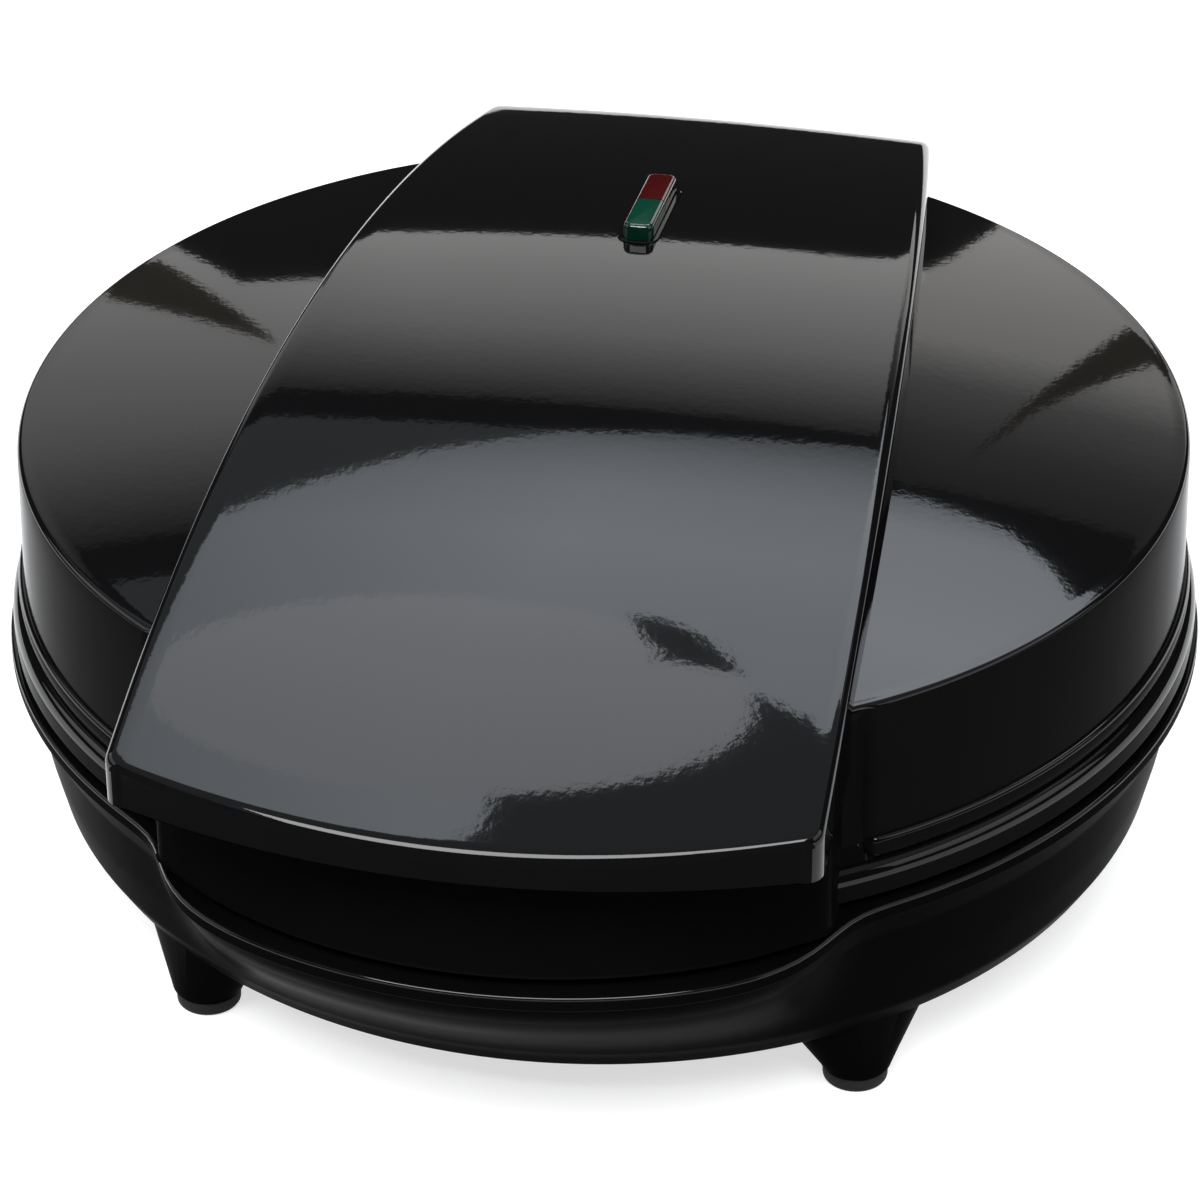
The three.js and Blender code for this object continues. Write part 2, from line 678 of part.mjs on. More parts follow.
const undersideInset = 3.6;
const postRadius = 5.6;            // posts that carry the lower plate
const underRingMargin = 7.4;       // those posts in to the recess of the bottom cover
const coverLedge = 7;
const coverThickness = 2;
const deckThickness = 4.7;
const floorThickness = 4.7;

const waistRadius = beadRadius - waistInset;
const heelRadius = beadRadius - heelInset;
const undersideRadius = heelRadius - undersideInset;
const underRingRadius = plateScrewRadius - postRadius - underRingMargin;

const bulgeAt = (angle) => {
  const forward = -Math.sin(angle);
  const aside = Math.abs(Math.cos(angle));
  const centre = baseReach - baseArc;
  const front = centre * forward + Math.sqrt(baseArc ** 2 - (centre * aside) ** 2);
  const reach = (front ** -cornerSharpness + (aside / baseHalf) ** cornerSharpness) ** (-1 / cornerSharpness);
  return beadRadius * ((1 + (reach / beadRadius) ** blendSharpness) ** (1 / blendSharpness) - 1);
};

function housingProfile() {
  const rim = seamHeight;
  const opening = plateRadius + plateSlack;
  const shelf = lowerPlateBack - fitGap;
  const ledge = opening - ledgeWidth;
  const deck = rim - deckThickness;
  const floor = footHeight + floorThickness;
  const coverSeat = footHeight + coverThickness + fitGap;
  const inside = underRingRadius - coverLedge;
  const waist = rim - waistDrop;
  const bellyRadius = lerp(waistRadius, heelRadius, bellyInShare);
  const belly = lerp(waist, footHeight, bellyDownShare);
  return [
    [opening, rim, 0], [beadRadius - beadEase, rim, 1], [beadRadius, rim - beadEase, 1],
    [beadRadius, rim - beadBelly, 1], [beadRadius - beadStep, rim - beadHeight, 1],
    [waistRadius, waist, 1], [bellyRadius, belly, 1],
    [heelRadius, footHeight + heelHeight, 1], [undersideRadius, footHeight, 1],
    [underRingRadius, footHeight, 0], [underRingRadius, coverSeat, 0],
    [inside, coverSeat, 0], [inside, floor, 0], [undersideRadius - wall, floor, 0],
    [bellyRadius - housingWall, belly, 1], [waistRadius - housingWall, waist, 1],
    [beadRadius - wall - housingWall, deck, 1],
    [ledge, deck, 0], [ledge, shelf, 0], [opening, shelf, 0],
  ];
}

function housingShell() {
  const profile = housingProfile();
  const low = footHeight + bulgeFadeLow;
  const high = footHeight + bulgeFadeHigh;
  const rings = [];
  for (let k = 0; k < bodySegments; k += 1) {
    const angle = (2 * Math.PI * k) / bodySegments;
    const bulge = bulgeAt(angle);
    rings.push(profile.map(([r, z, follows]) => {
      const [x, y] = around(r + follows * bulge * smooth(z, low, high), angle);
      return [x, y, z];
    }));
  }
  return loft(rings, true);
}

// Feet: tapered legs under the wall, each with a rubber pad.
const footInset = 7.8;             // underside's edge to the circle of the foot tips
const footSplay = 1.6;             // how far each foot leans out on its way down
const footTurn = 50.2;             // angle of each foot from the left-right line
const footCircle = undersideRadius - footInset;
const [footPlaceX, footPlaceY] = around(footCircle, degrees(footTurn));
const footTopDepth = 10;           // half of the leg's top from the wall inwards
const footTopLength = 16;          // and half of it along the wall
const footTipRadius = 7.4;
const padHeight = 3.2;
const padRadius = 6.6;
const padRound = 0.9;
const footCorners = [[1, -1], [-1, -1], [1, 1], [-1, 1]];

function leg([sideX, sideY]) {
  const turn = Math.atan2(sideY * footPlaceY, sideX * footPlaceX);
  const ringAt = (reach, z, depth, length) => Array.from({ length: smallSegments }, (_, k) => {
    const [outward, aside] = around(1, (2 * Math.PI * k) / smallSegments);
    const [x, y] = around(reach + depth * outward, turn);
    const [sideStepX, sideStepY] = around(length * aside, turn + Math.PI / 2);
    return [x + sideStepX, y + sideStepY, z];
  });
  const tip = padHeight + fitGap;
  return loft([
    ringAt(footCircle, tip, footTipRadius - padRound, footTipRadius - padRound),
    ringAt(footCircle, tip + padRound, footTipRadius, footTipRadius),
    ringAt(footCircle - footSplay, footHeight + coverThickness, footTopDepth, footTopLength),
  ]);
}

function footPad() {
  return revolved([
    [0, 0], [padRadius - padRound, 0], [padRadius, padRound], [padRadius, padHeight], [0, padHeight],
  ], smallSegments);
}

// Screw posts of the housing, its hinge lugs, and the boss for the cord's inlet.
const postHeadBore = 4.2;
const postSeat = 7;                // thickness of post above the screw's head
const lugUnderTurn = -50;          // where the lug's round end meets its arm, under and over the pin
const lugOverTurn = 150;
const lugArmHigh = 4;
const lugArmLow = 18;
const inletRise = 18;              // underside to the middle of the cord inlet
const inletHeight = footHeight + inletRise;
const inletBossRadius = 10.5;
const inletBossProud = 0.8;
const inletBossReach = waistRadius + inletBossProud;
const inletBore = 6.2;
const coverScrewInset = 3.6;
const coverScrewRadius = underRingRadius - coverScrewInset;
const coverScrewAngles = [45, 135, 225, 315].map(degrees);
const coverPostRadius = 4.2;
const coverPostHeight = 5;

function lug(side) {
  const shape = new THREE.Shape();
  const root = beadRadius - 3 * wall;
  const down = degrees(lugUnderTurn);
  const up = degrees(lugOverTurn);
  const [dy, dz] = around(lugRadius, down);
  shape.moveTo(root, seamHeight - lugArmLow);
  shape.lineTo(beadRadius, seamHeight - lugArmLow);
  shape.lineTo(hingeBehindAxis + dy, hingeHeight + dz);
  shape.absarc(hingeBehindAxis, hingeHeight, lugRadius, down, up, false);
  shape.lineTo(root, seamHeight - lugArmHigh);
  shape.closePath();
  const near = knuckleHalf + lugGap;
  const from = side > 0 ? near : -near - lugWidth;
  return runAlongX(shape, from, from + lugWidth);
}

function baseHousing() {
  const postTop = lowerPlateBack - plateBossHeight - fitGap;
  const posts = plateScrewAngles.map((angle) => {
    const [x, y] = around(plateScrewRadius, angle);
    return disc(postRadius, footHeight + coverThickness, postTop, x, y, screwSegments);
  });
  const postBores = plateScrewAngles.flatMap((angle) => {
    const [x, y] = around(plateScrewRadius, angle);
    return [disc(postHeadBore, footHeight - overrun, postTop - postSeat, x, y, screwSegments),
      disc(screwHoleRadius, footHeight, postTop + overrun, x, y, screwSegments)];
  });
  const coverPosts = coverScrewAngles.map((angle) => {
    const [x, y] = around(coverScrewRadius, angle);
    return disc(coverPostRadius, footHeight + floorThickness - overrun,
      footHeight + floorThickness + coverPostHeight, x, y, screwSegments);
  });
  const coverBores = coverScrewAngles.map((angle) => {
    const [x, y] = around(coverScrewRadius, angle);
    return disc(screwHoleRadius, footHeight, footHeight + floorThickness + coverPostHeight - overrun, x, y,
      screwSegments);
  });
  const inletBoss = cut(rodY(inletBossRadius, heelRadius - wall, inletBossReach, 0, inletHeight),
    rodY(inletBossRadius - wall, heelRadius - wall - overrun, heelRadius - wall / 2, 0, inletHeight));
  const inlet = rodY(inletBore, heelRadius - 3 * wall, inletBossReach + overrun, 0, inletHeight);
  const pocket = rodX(knuckleRadius + pocketGap, -knuckleHalf - lugGap, knuckleHalf + lugGap,
    hingeBehindAxis, hingeHeight, pocketSegments);
  const pinBore = rodX(pinRadius + pinSlack, -knuckleHalf - 2 * lugWidth, knuckleHalf + 2 * lugWidth,
    hingeBehindAxis, hingeHeight);
  const body = joined(housingShell(), ...footCorners.map(leg), ...posts, ...coverPosts, lug(1), lug(-1),
    inletBoss);
  return cut(body, ...postBores, ...coverBores, inlet, pocket, pinBore);
}

// Bottom cover with a ring of vents.
const ventCount = 10;
const ventInner = 34;
const ventInset = 22;
const ventOuter = underRingRadius - ventInset;
const ventWidth = 4;

function bottomCover() {
  const low = footHeight;
  const high = footHeight + coverThickness;
  const body = disc(underRingRadius - plateSlack, low, high, 0, 0, bodySegments);
  const vents = Array.from({ length: ventCount }, (_, k) =>
    block([ventInner, -ventWidth / 2, low - overrun], [ventOuter, ventWidth / 2, high + overrun])
      .rotate(0, 0, (360 * (k + 0.5)) / ventCount));
  const holes = coverScrewAngles.map((angle) =>
    disc(screwHoleRadius, low - overrun, high + overrun, ...around(coverScrewRadius, angle), screwSegments));
  return cut(body, ...vents, ...holes);
}

// Heating elements: a sheathed ring under each plate, its two ends turned away from the plate.
const elementRing = cupRingRadius / 2;
const elementRadius = 3.2;
const elementOpening = 13;         // degrees from the middle of the gap to each end
const elementLeg = 11;
const elementSteps = 20;
const elementBends = 12;
const elementTension = 0.4;

function heatingElement() {
  const points = [];
  const first = degrees(90 + elementOpening);
  const last = degrees(90 - elementOpening + 360);
  const drop = -elementRadius;
  const at = (angle, z) => new THREE.Vector3(...around(elementRing, angle), z);
  points.push(at(first, drop - elementLeg), at(first, drop - elementLeg / 2));
  for (let k = 0; k <= elementBends; k += 1) {
    points.push(at(lerp(first, last, (k + 0.5) / (elementBends + 1)), drop));
  }
  points.push(at(last, drop - elementLeg / 2), at(last, drop - elementLeg));
  const path = new THREE.CatmullRomCurve3(points, false, 'catmullrom', elementTension);
  const section = new THREE.Shape().absarc(0, 0, elementRadius, 0, 2 * Math.PI, false);
  return toSolid(new THREE.ExtrudeGeometry(section, {
    steps: elementSteps, extrudePath: path, bevelEnabled: false, curveSegments: 3,
  }));
}

// Heat shields: sheet pans behind the cups, each clamped by one screw in the middle.
const shieldSheet = 0.8;
const shieldLip = 4;
const shieldMargin = 1.4;
const shieldRadius = plateScrewRadius - postRadius - shieldMargin - shieldLip / 2;
const shieldScrewLength = 6;

function heatShield() {
  return revolved([
    [screwHoleRadius, 0], [shieldRadius, 0], [shieldRadius + shieldLip / 2, shieldLip],
    [shieldRadius - shieldSheet, shieldSheet], [screwHoleRadius, shieldSheet], [screwHoleRadius, 0],
  ], shieldSegments);
}

// Thermostat, thermal fuse, terminal block and cord inlet.
const thermostatRadius = 8.2;
const thermostatHeight = 6;
const thermostatCap = 9;
const thermostatCapHeight = 1.6;
const tabWidth = 4;
const tabLength = 7;
const tabThickness = 0.8;
const sensorInset = 26;
const sensorCircle = plateRadius - sensorInset;
const thermostatAngle = 30;
const fuseAngle = 150;
const fuseRadius = 2.2;
const fuseLength = 11;
const fuseLeadRadius = 0.7;
const fuseLead = 7;

function thermostat() {
  const cap = disc(thermostatCap, -thermostatCapHeight, 0);
  const body = disc(thermostatRadius, -thermostatHeight, -thermostatCapHeight / 2);
  const tab = (side) => block(
    [side * thermostatRadius / 2 - tabThickness / 2, -tabWidth / 2, -thermostatHeight - tabLength],
    [side * thermostatRadius / 2 + tabThickness / 2, tabWidth / 2, -thermostatHeight / 2]);
  return joined(cap, body, tab(1), tab(-1));
}

function thermalFuse() {
  const half = fuseLength / 2;
  const body = rodX(fuseRadius, -half, half, 0, -fuseRadius, screwSegments);
  const leads = rodX(fuseLeadRadius, -half - fuseLead, half + fuseLead, 0, -fuseRadius, screwSegments);
  return joined(body, leads);
}

const terminalLength = 32;
const terminalWidth = 14;
const terminalHeight = 6.5;
const terminalPoles = 3;
const terminalWireHole = 1.7;
const terminalGrooveShare = 0.6;   // how high the grooves between the poles start
const terminalPlace = 42;

function terminalBlock() {
  const body = block([-terminalLength / 2, -terminalWidth / 2, 0],
    [terminalLength / 2, terminalWidth / 2, terminalHeight]);
  const pitch = terminalLength / terminalPoles;
  const cuts = Array.from({ length: terminalPoles }, (_, k) => {
    const x = (k - (terminalPoles - 1) / 2) * pitch;
    return rodY(terminalWireHole, -terminalWidth / 2 - overrun, terminalWidth / 2 + overrun, x,
      terminalHeight / 2, screwSegments);
  });
  const grooves = Array.from({ length: terminalPoles - 1 }, (_, k) => {
    const x = (k + 1) * pitch - terminalLength / 2;
    return block([x - tabThickness, -terminalWidth, terminalGrooveShare * terminalHeight],
      [x + tabThickness, terminalWidth, terminalHeight + overrun]);
  });
  return cut(body, ...cuts, ...grooves);
}

const inletFlange = 8.6;
const inletFlangeDepth = 3;
const inletNeck = 5.9;
const inletNeckLength = 9;
const cordBore = 3.4;

function cordInlet() {
  const profile = [
    [cordBore, -inletNeckLength], [inletNeck, -inletNeckLength], [inletNeck, 0], [inletFlange, 0],
    [inletFlange, inletFlangeDepth / 2], [inletNeck + fitGap, inletFlangeDepth], [cordBore, inletFlangeDepth],
    [cordBore, -inletNeckLength],
  ];
  return revolved(profile, smallSegments);
}

// Hinge pin: head outside the lug, shank through it and into the knuckle.
function hingePin(side) {
  const lugOuter = knuckleHalf + lugGap + lugWidth + fitGap;
  const shank = rodX(pinRadius, side * (knuckleHalf - pinReach), side * (lugOuter + pinHeadLength / 2),
    hingeBehindAxis, hingeHeight, screwSegments);
  const head = rodX(pinHeadRadius, side * lugOuter, side * (lugOuter + pinHeadLength),
    hingeBehindAxis, hingeHeight);
  return joined(shank, head);
}

// Indicator: bezel, two lens halves, and the two lamps in their tray.
function bezel() {
  const outer = raised(slot(lensLength, lensWidth, bezelWidth), -wall, bezelProud);
  return cut(outer, raised(slot(lensLength, lensWidth, 0), -wall - overrun, bezelProud + overrun));
}

function lensHalf(side) {
  const body = raised(slot(lensLength, lensWidth, -fitGap), -lensDepth, lensProud - lensBevel);
  const crown = raised(slot(lensLength, lensWidth, -fitGap - lensBevel), 0, lensProud);
  const reach = lensLength;
  const keep = side > 0 ? block([-reach, fitGap / 2, -reach], [reach, reach, reach])
    : block([-reach, -reach, -reach], [reach, -fitGap / 2, reach]);
  return joined(body, crown).intersect(keep);
}

const lampRadius = 2.5;
const lampLength = 13;
const trayWidth = 11;
const traySheet = 1;
const trayHigh = 3.4;
const trayClearance = 0.5;
const trayHalf = lensLength / 2 + bezelWidth + 2 * traySheet;
const trayLow = lensHeight - domeHeight(lensPlace - trayHalf) - trayClearance;

function lampTray() {
  const floor = block([-trayWidth / 2, -trayHalf, -trayLow], [trayWidth / 2, trayHalf, traySheet - trayLow]);
  const end = (side) => block([-trayWidth / 2, side > 0 ? trayHalf - traySheet : -trayHalf, -trayLow],
    [trayWidth / 2, side > 0 ? trayHalf : traySheet - trayHalf, -trayHigh]);
  return joined(floor, end(1), end(-1));
}

function lamp(side) {
  const middle = side * lensLength / 4;
  return rodY(lampRadius, middle - lampLength / 2, middle + lampLength / 2, 0,
    traySheet - trayLow + lampRadius + fitGap, screwSegments);
}

// Assembly of the lower half.
add(baseGroup, 'base_housing', baseHousing(), satinBlack);
add(baseGroup, 'bottom_cover', bottomCover(), satinBlack);
footCorners.forEach(([sideX, sideY], k) => {
  const pad = add(baseGroup, `foot_pad_${k + 1}`, footPad(), rubber);
  pad.position.set(sideX * footPlaceX, sideY * footPlaceY, 0);
});
coverScrewAngles.forEach((angle, k) => {
  const piece = add(baseGroup, `cover_screw_${k + 1}`, screw(coverThickness + coverPostHeight), screwSteel);
  piece.position.set(...around(coverScrewRadius, angle), footHeight - fitGap);
});
add(baseGroup, 'lower_baking_plate', lowerPlate(), nonStick).position.z = lowerPlateFace;
plateScrewAngles.forEach((angle, k) => {
  const seat = lowerPlateBack - plateBossHeight - postSeat - 2 * fitGap;
  const piece = add(baseGroup, `lower_plate_screw_${k + 1}`, screw(postSeat + plateBossHeight), screwSteel);
  piece.position.set(...around(plateScrewRadius, angle), seat);
});
add(baseGroup, 'lower_heating_element', heatingElement(), heaterSteel).position.z = lowerPlateBack - fitGap;
const lowerShield = add(baseGroup, 'lower_heat_shield', heatShield(), sheetSteel);
const lowerShieldTop = lowerPlateFace - lowerCupDepth - cupWall - shieldBossHeight - fitGap;
lowerShield.position.z = lowerShieldTop - shieldSheet;
add(baseGroup, 'lower_shield_screw', screw(shieldScrewLength), screwSteel).position.z =
  lowerShieldTop - shieldSheet - fitGap;
const sensor = add(baseGroup, 'thermostat', thermostat(), ceramic);
sensor.position.set(...around(sensorCircle, degrees(thermostatAngle)), lowerPlateBack - fitGap);
const fuse = add(baseGroup, 'thermal_fuse', thermalFuse(), ceramic);
fuse.position.set(...around(sensorCircle, degrees(fuseAngle)), lowerPlateBack - fitGap);
fuse.rotation.z = degrees(fuseAngle - 90);
add(baseGroup, 'terminal_block', terminalBlock(), ceramic).position.set(
  0, terminalPlace, footHeight + coverThickness + fitGap);
const inletPiece = add(baseGroup, 'cord_inlet', cordInlet(), rubber);
inletPiece.position.set(0, inletBossReach + fitGap, inletHeight);
inletPiece.rotation.x = -Math.PI / 2;
add(baseGroup, 'hinge_pin_right', hingePin(1), screwSteel);
add(baseGroup, 'hinge_pin_left', hingePin(-1), screwSteel);

// Assembly of the lid.
add(lidGroup, 'lid_shell', lidShell(), glossBlack);
add(lidGroup, 'handle_band', handleBand(), glossBlack);
add(lidGroup, 'front_grip', frontGrip(), satinBlack);
const upperPiece = add(lidGroup, 'upper_baking_plate', upperPlate(), nonStick);
upperPiece.position.z = upperPlateFace;
upperPiece.rotation.y = Math.PI;
plateScrewAngles.forEach((angle, k) => {
  const piece = add(lidGroup, `upper_plate_screw_${k + 1}`, screw(lidPostBore), screwSteel);
  piece.position.set(...around(plateScrewRadius, angle), upperPlateFace + counterboreDepth - fitGap);
});
const upperElement = add(lidGroup, 'upper_heating_element', heatingElement(), heaterSteel);
upperElement.position.z = upperPlateBack + fitGap;
upperElement.rotation.y = Math.PI;
const upperShieldLow = upperPlateFace + upperCupDepth + cupWall + shieldBossHeight + fitGap;
const upperShield = add(lidGroup, 'upper_heat_shield', heatShield(), sheetSteel);
upperShield.position.z = upperShieldLow;
const upperShieldScrew = add(lidGroup, 'upper_shield_screw', screw(shieldScrewLength), screwSteel);
upperShieldScrew.position.z = upperShieldLow + shieldSheet + fitGap;
upperShieldScrew.rotation.x = Math.PI;
bandScrewPlaces.forEach(([x, y], k) => {
  const seat = bandScrewSeat(x, y);
  const length = bandBoreTop(x, y) - seat - fitGap;
  const piece = add(lidGroup, `band_screw_${k + 1}`, screw(length), screwSteel);
  piece.position.set(x, y, seat);
});
gripScrewAngles.forEach((angle, k) => {
  const holder = new THREE.Group();
  holder.rotation.z = angle;
  lidGroup.add(holder);
  const piece = add(holder, `grip_screw_${k + 1}`, screw(gripScrewLength), screwSteel);
  piece.position.set(lidRadius - wall - wallFacetSlack, 0, gripScrewHeight);
  piece.rotation.y = Math.PI / 2;
});

const indicator = new THREE.Group();
indicator.position.set(0, lensPlace, lensHeight);
indicator.rotation.x = lensTilt;
lidGroup.add(indicator);
add(indicator, 'indicator_bezel', bezel(), glossBlack);
add(indicator, 'lens_red', lensHalf(1), redLens);
add(indicator, 'lens_green', lensHalf(-1), greenLens);
add(indicator, 'lamp_tray', lampTray(), ceramic);
add(indicator, 'lamp_red', lamp(1), lampGlass);
add(indicator, 'lamp_green', lamp(-1), lampGlass);

export default cooker;
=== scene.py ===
import math

import bmesh
import bpy
from mathutils import Matrix, Vector


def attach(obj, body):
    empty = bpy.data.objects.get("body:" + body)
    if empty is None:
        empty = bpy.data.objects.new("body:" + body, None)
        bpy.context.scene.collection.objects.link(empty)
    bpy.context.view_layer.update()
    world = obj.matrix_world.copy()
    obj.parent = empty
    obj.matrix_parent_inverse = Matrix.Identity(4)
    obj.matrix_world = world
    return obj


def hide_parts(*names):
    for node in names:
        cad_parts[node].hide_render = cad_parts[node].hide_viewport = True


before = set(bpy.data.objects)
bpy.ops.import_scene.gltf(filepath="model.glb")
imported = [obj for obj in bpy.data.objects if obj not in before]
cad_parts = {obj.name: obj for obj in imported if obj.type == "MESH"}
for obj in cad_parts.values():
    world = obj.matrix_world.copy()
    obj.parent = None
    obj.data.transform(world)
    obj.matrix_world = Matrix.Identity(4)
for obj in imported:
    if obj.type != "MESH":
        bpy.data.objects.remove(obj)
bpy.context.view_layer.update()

scene = bpy.context.scene
scene.view_settings.view_transform = "Standard"

# Camera. A long lens stands in front of the cooker, a little to its right, and looks down on the lid,
# so the front lip is nearest and the hinge is hidden behind the band.
camera_lens = bpy.data.cameras.new("camera")
camera_lens.lens = 150
camera_lens.sensor_width = 36
camera_lens.clip_start = 0.05
camera_lens.clip_end = 50
camera = bpy.data.objects.new("camera", camera_lens)
scene.collection.objects.link(camera)
camera.matrix_world = Matrix((
    (0.98093061, -0.10040013, 0.16641801, 0.175286),
    (0.19431353, 0.52497833, -0.82863744, -0.871155),
    (-0.00417055, 0.84517310, 0.53447642, 0.620786),
    (0, 0, 0, 1),
))
scene.camera = camera

# Lower housing. One satin black moulding: a thin rim, a wall drawn in towards the underside, a lip
# that swells out under the front grip, four tapered legs and two hinge lugs. It is injection moulded,
# and everything else of the base is screwed to it.
MM = 0.001
crease = math.radians(32)        # edges that turn by more than this stay sharp
body_axis_y = 6.3                # the round body stands this far behind the middle of the cooker
seam_z = 56.5                    # rim of the housing
underside_z = 18.0
rim_radius = 125.0
plate_opening = 118.5
lip_reach = 143.0
lip_curve = 110.0
lip_half_width = 72.0
hinge_y = 131.0
hinge_z = 57.75
lug_inner, lug_outer = 31.3, 41.3
pin_bore = 2.7
inlet_z = 36.0
plate_screw_circle = 97.0
post_bottom_z, post_top_z = 20, 51.35
foot_turn = math.radians(50.2)
foot_circle = 105.2


def smooth_step(value, low, high):
    share = min(max((value - low) / (high - low), 0.0), 1.0)
    return share * share * (3 - 2 * share)


def eased(corners, steps=6):
    """Round each corner (across, up, radius) of a closed section with an arc of its radius."""
    section = []
    for k, (across, up, radius) in enumerate(corners):
        here = Vector((across, up))
        back = Vector(corners[k - 1][:2]) - here
        ahead = Vector(corners[(k + 1) % len(corners)][:2]) - here
        if 0 in (radius, back.length, ahead.length) or back.angle(ahead) > math.radians(179):
            section.append((across, up))
            continue
        half = back.angle(ahead) / 2
        reach = min(radius / math.tan(half), 0.48 * back.length, 0.48 * ahead.length)
        radius = reach * math.tan(half)
        middle = here + (back.normalized() + ahead.normalized()).normalized() * (radius / math.sin(half))
        first = here + back.normalized() * reach - middle
        last = here + ahead.normalized() * reach - middle
        start = math.atan2(first.y, first.x)
        sweep = math.atan2(last.y, last.x) - start
        sweep = (sweep + math.pi) % (2 * math.pi) - math.pi
        for step in range(steps + 1):
            turn = start + sweep * step / steps
            section.append((middle.x + radius * math.cos(turn), middle.y + radius * math.sin(turn)))
    return section


def finely(section, gap):
    """Add points on the long straights of a closed section, so that none is longer than the gap."""
    result = []
    for k, a in enumerate(section):
        b = section[(k + 1) % len(section)]
        parts = max(1, math.ceil(math.dist(a, b) / gap))
        for part in range(parts):
            share = part / parts
            result.append((a[0] + (b[0] - a[0]) * share, a[1] + (b[1] - a[1]) * share))
    return result


def shape(name, points, faces):
    """A mesh object from points in millimetres about the body's axis, smooth but for its creases."""
    mesh = bpy.data.meshes.new(name)
    mesh.from_pydata([(x * MM, (y + body_axis_y) * MM, z * MM) for x, y, z in points], [], faces)
    work = bmesh.new()
    work.from_mesh(mesh)
    bmesh.ops.remove_doubles(work, verts=work.verts, dist=1e-7)
    bmesh.ops.recalc_face_normals(work, faces=work.faces)
    work.to_mesh(mesh)
    work.free()
    mesh.shade_smooth()
    mesh.set_sharp_from_angle(angle=crease)
    piece = bpy.data.objects.new(name, mesh)
    scene.collection.objects.link(piece)
    return piece


def full_turn(count):
    return [2 * math.pi * k / count for k in range(count)]


def on_circle(radius, angles):
    return [(radius * math.cos(a), radius * math.sin(a)) for a in angles]


def turned(name, section, angles, place=None, centre=(0, 0)):
    """Turn a closed section of (radius, height) about an upright axis; place may move its points."""
    points = []
    for angle in angles:
        for radius, height in section:
            r, z = place(radius, height, angle) if place else (radius, height)
            points.append((centre[0] + r * math.cos(angle), centre[1] + r * math.sin(angle), z))
    count = len(section)
    faces = []
    for j in range(len(angles)):
        here = j * count
        ahead = ((j + 1) % len(angles)) * count
        for i in range(count):
            k = (i + 1) % count
            if not section[i][0] == section[k][0] == 0:
                faces.append((here + i, here + k, ahead + k, ahead + i))
    return shape(name, points, faces)


def lofted(name, rings):
    """A closed body through rings of points, with a flat end at each side."""
    count = len(rings[0])
    points = [point for ring in rings for point in ring]
    faces = []
    for j in range(len(rings) - 1):
        for i in range(count):
            k = (i + 1) % count
            faces.append((j * count + i, j * count + k, (j + 1) * count + k, (j + 1) * count + i))
    faces.append(tuple(reversed(range(count))))
    faces.append(tuple(range(len(points) - count, len(points))))
    return shape(name, points, faces)


def eased_ends(start, end, edge):
    """Places along a body, each with how far its outline is drawn in there."""
    if edge == 0:
        return [(start, 0), (end, 0)]
    return [(start, edge), (start + edge * 0.3, edge * 0.3), (start + edge, 0),
            (end - edge, 0), (end - edge * 0.3, edge * 0.3), (end, edge)]


def rod(name, radius, start, end, steps=48, edge=0.0):
    """A round rod between two points, with its end edges eased."""
    start, end = Vector(start), Vector(end)
    along = (end - start).normalized()
    side = along.orthogonal().normalized()
    other = along.cross(side)
    rings = []
    for far, inset in eased_ends(0, (end - start).length, edge):
        r = radius - inset
        rings.append([tuple(start + along * far + (side * math.cos(t) + other * math.sin(t)) * r)
                      for t in full_turn(steps)])
    return lofted(name, rings)


def along_x(name, outline, left, right):
    """A flat outline in (y, z), run from left to right, with its end edges eased."""
    count = len(outline)
    middle = Vector((sum(y for y, _ in outline) / count, sum(z for _, z in outline) / count))
    rings = []
    for x, inset in eased_ends(left, right, 0.8):
        ring = []
        for k, (y, z) in enumerate(outline):
            ahead = Vector(outline[(k + 1) % count]) - Vector(outline[k - 1])
            normal = Vector((ahead.y, -ahead.x)).normalized()
            if normal.dot(Vector((y, z)) - middle) < 0:
                normal = -normal
            ring.append((x, y - normal.x * inset, z - normal.y * inset))
        rings.append(ring)
    return lofted(name, rings)


def worked(piece, operation, tools):
    """Join tools to a piece or cut them out of it, and take the tools away."""
    for tool in tools:
        step = piece.modifiers.new("step", "BOOLEAN")
        step.operation = operation
        step.solver = "MANIFOLD"
        step.object = tool
    bpy.context.view_layer.update()
    ready = piece.evaluated_get(bpy.context.evaluated_depsgraph_get())
    mesh = bpy.data.meshes.new_from_object(ready)
    mesh.name = piece.name
    piece.modifiers.clear()
    old = piece.data
    piece.data = mesh
    bpy.data.meshes.remove(old)
    for tool in tools:
        used = tool.data
        bpy.data.objects.remove(tool)
        bpy.data.meshes.remove(used)
    mesh.shade_smooth()
    mesh.set_sharp_from_angle(angle=crease)
    return piece


def lip_swell(angle):
    """How far the lip stands out of the round plan at an angle: a shallow arc with blunt corners."""
    corner_power, blend_power = 10, 40
    forward, aside = -math.sin(angle), abs(math.cos(angle))
    centre = lip_reach - lip_curve
    front = centre * forward + math.sqrt(lip_curve ** 2 - (centre * aside) ** 2)
    reach = (front ** -corner_power + (aside / lip_half_width) ** corner_power) ** (-1 / corner_power)
    return rim_radius * ((1 + (reach / rim_radius) ** blend_power) ** (1 / blend_power) - 1)


housing_section = finely(eased([
    (plate_opening, seam_z, 0.5), (rim_radius, seam_z, 0.7), (rim_radius, 53.5, 0.7),
    (123.4, 52.2, 0.6), (121.2, 46.5, 8), (118.9, 34.0, 60), (116.6, 24.0, 7),
    (113.0, underside_z, 2.2), (84.0, underside_z, 0.5), (84.0, 20.3, 0), (77.0, 20.3, 0),
    (77.0, 22.7, 0), (110.6, 22.7, 1), (116.0, 34.0, 20), (118.4, 46.5, 3), (119.8, 51.8, 1),
    (115.5, 51.8, 0), (115.5, 54.15, 0), (plate_opening, 54.15, 0.3),
]), 2.5)


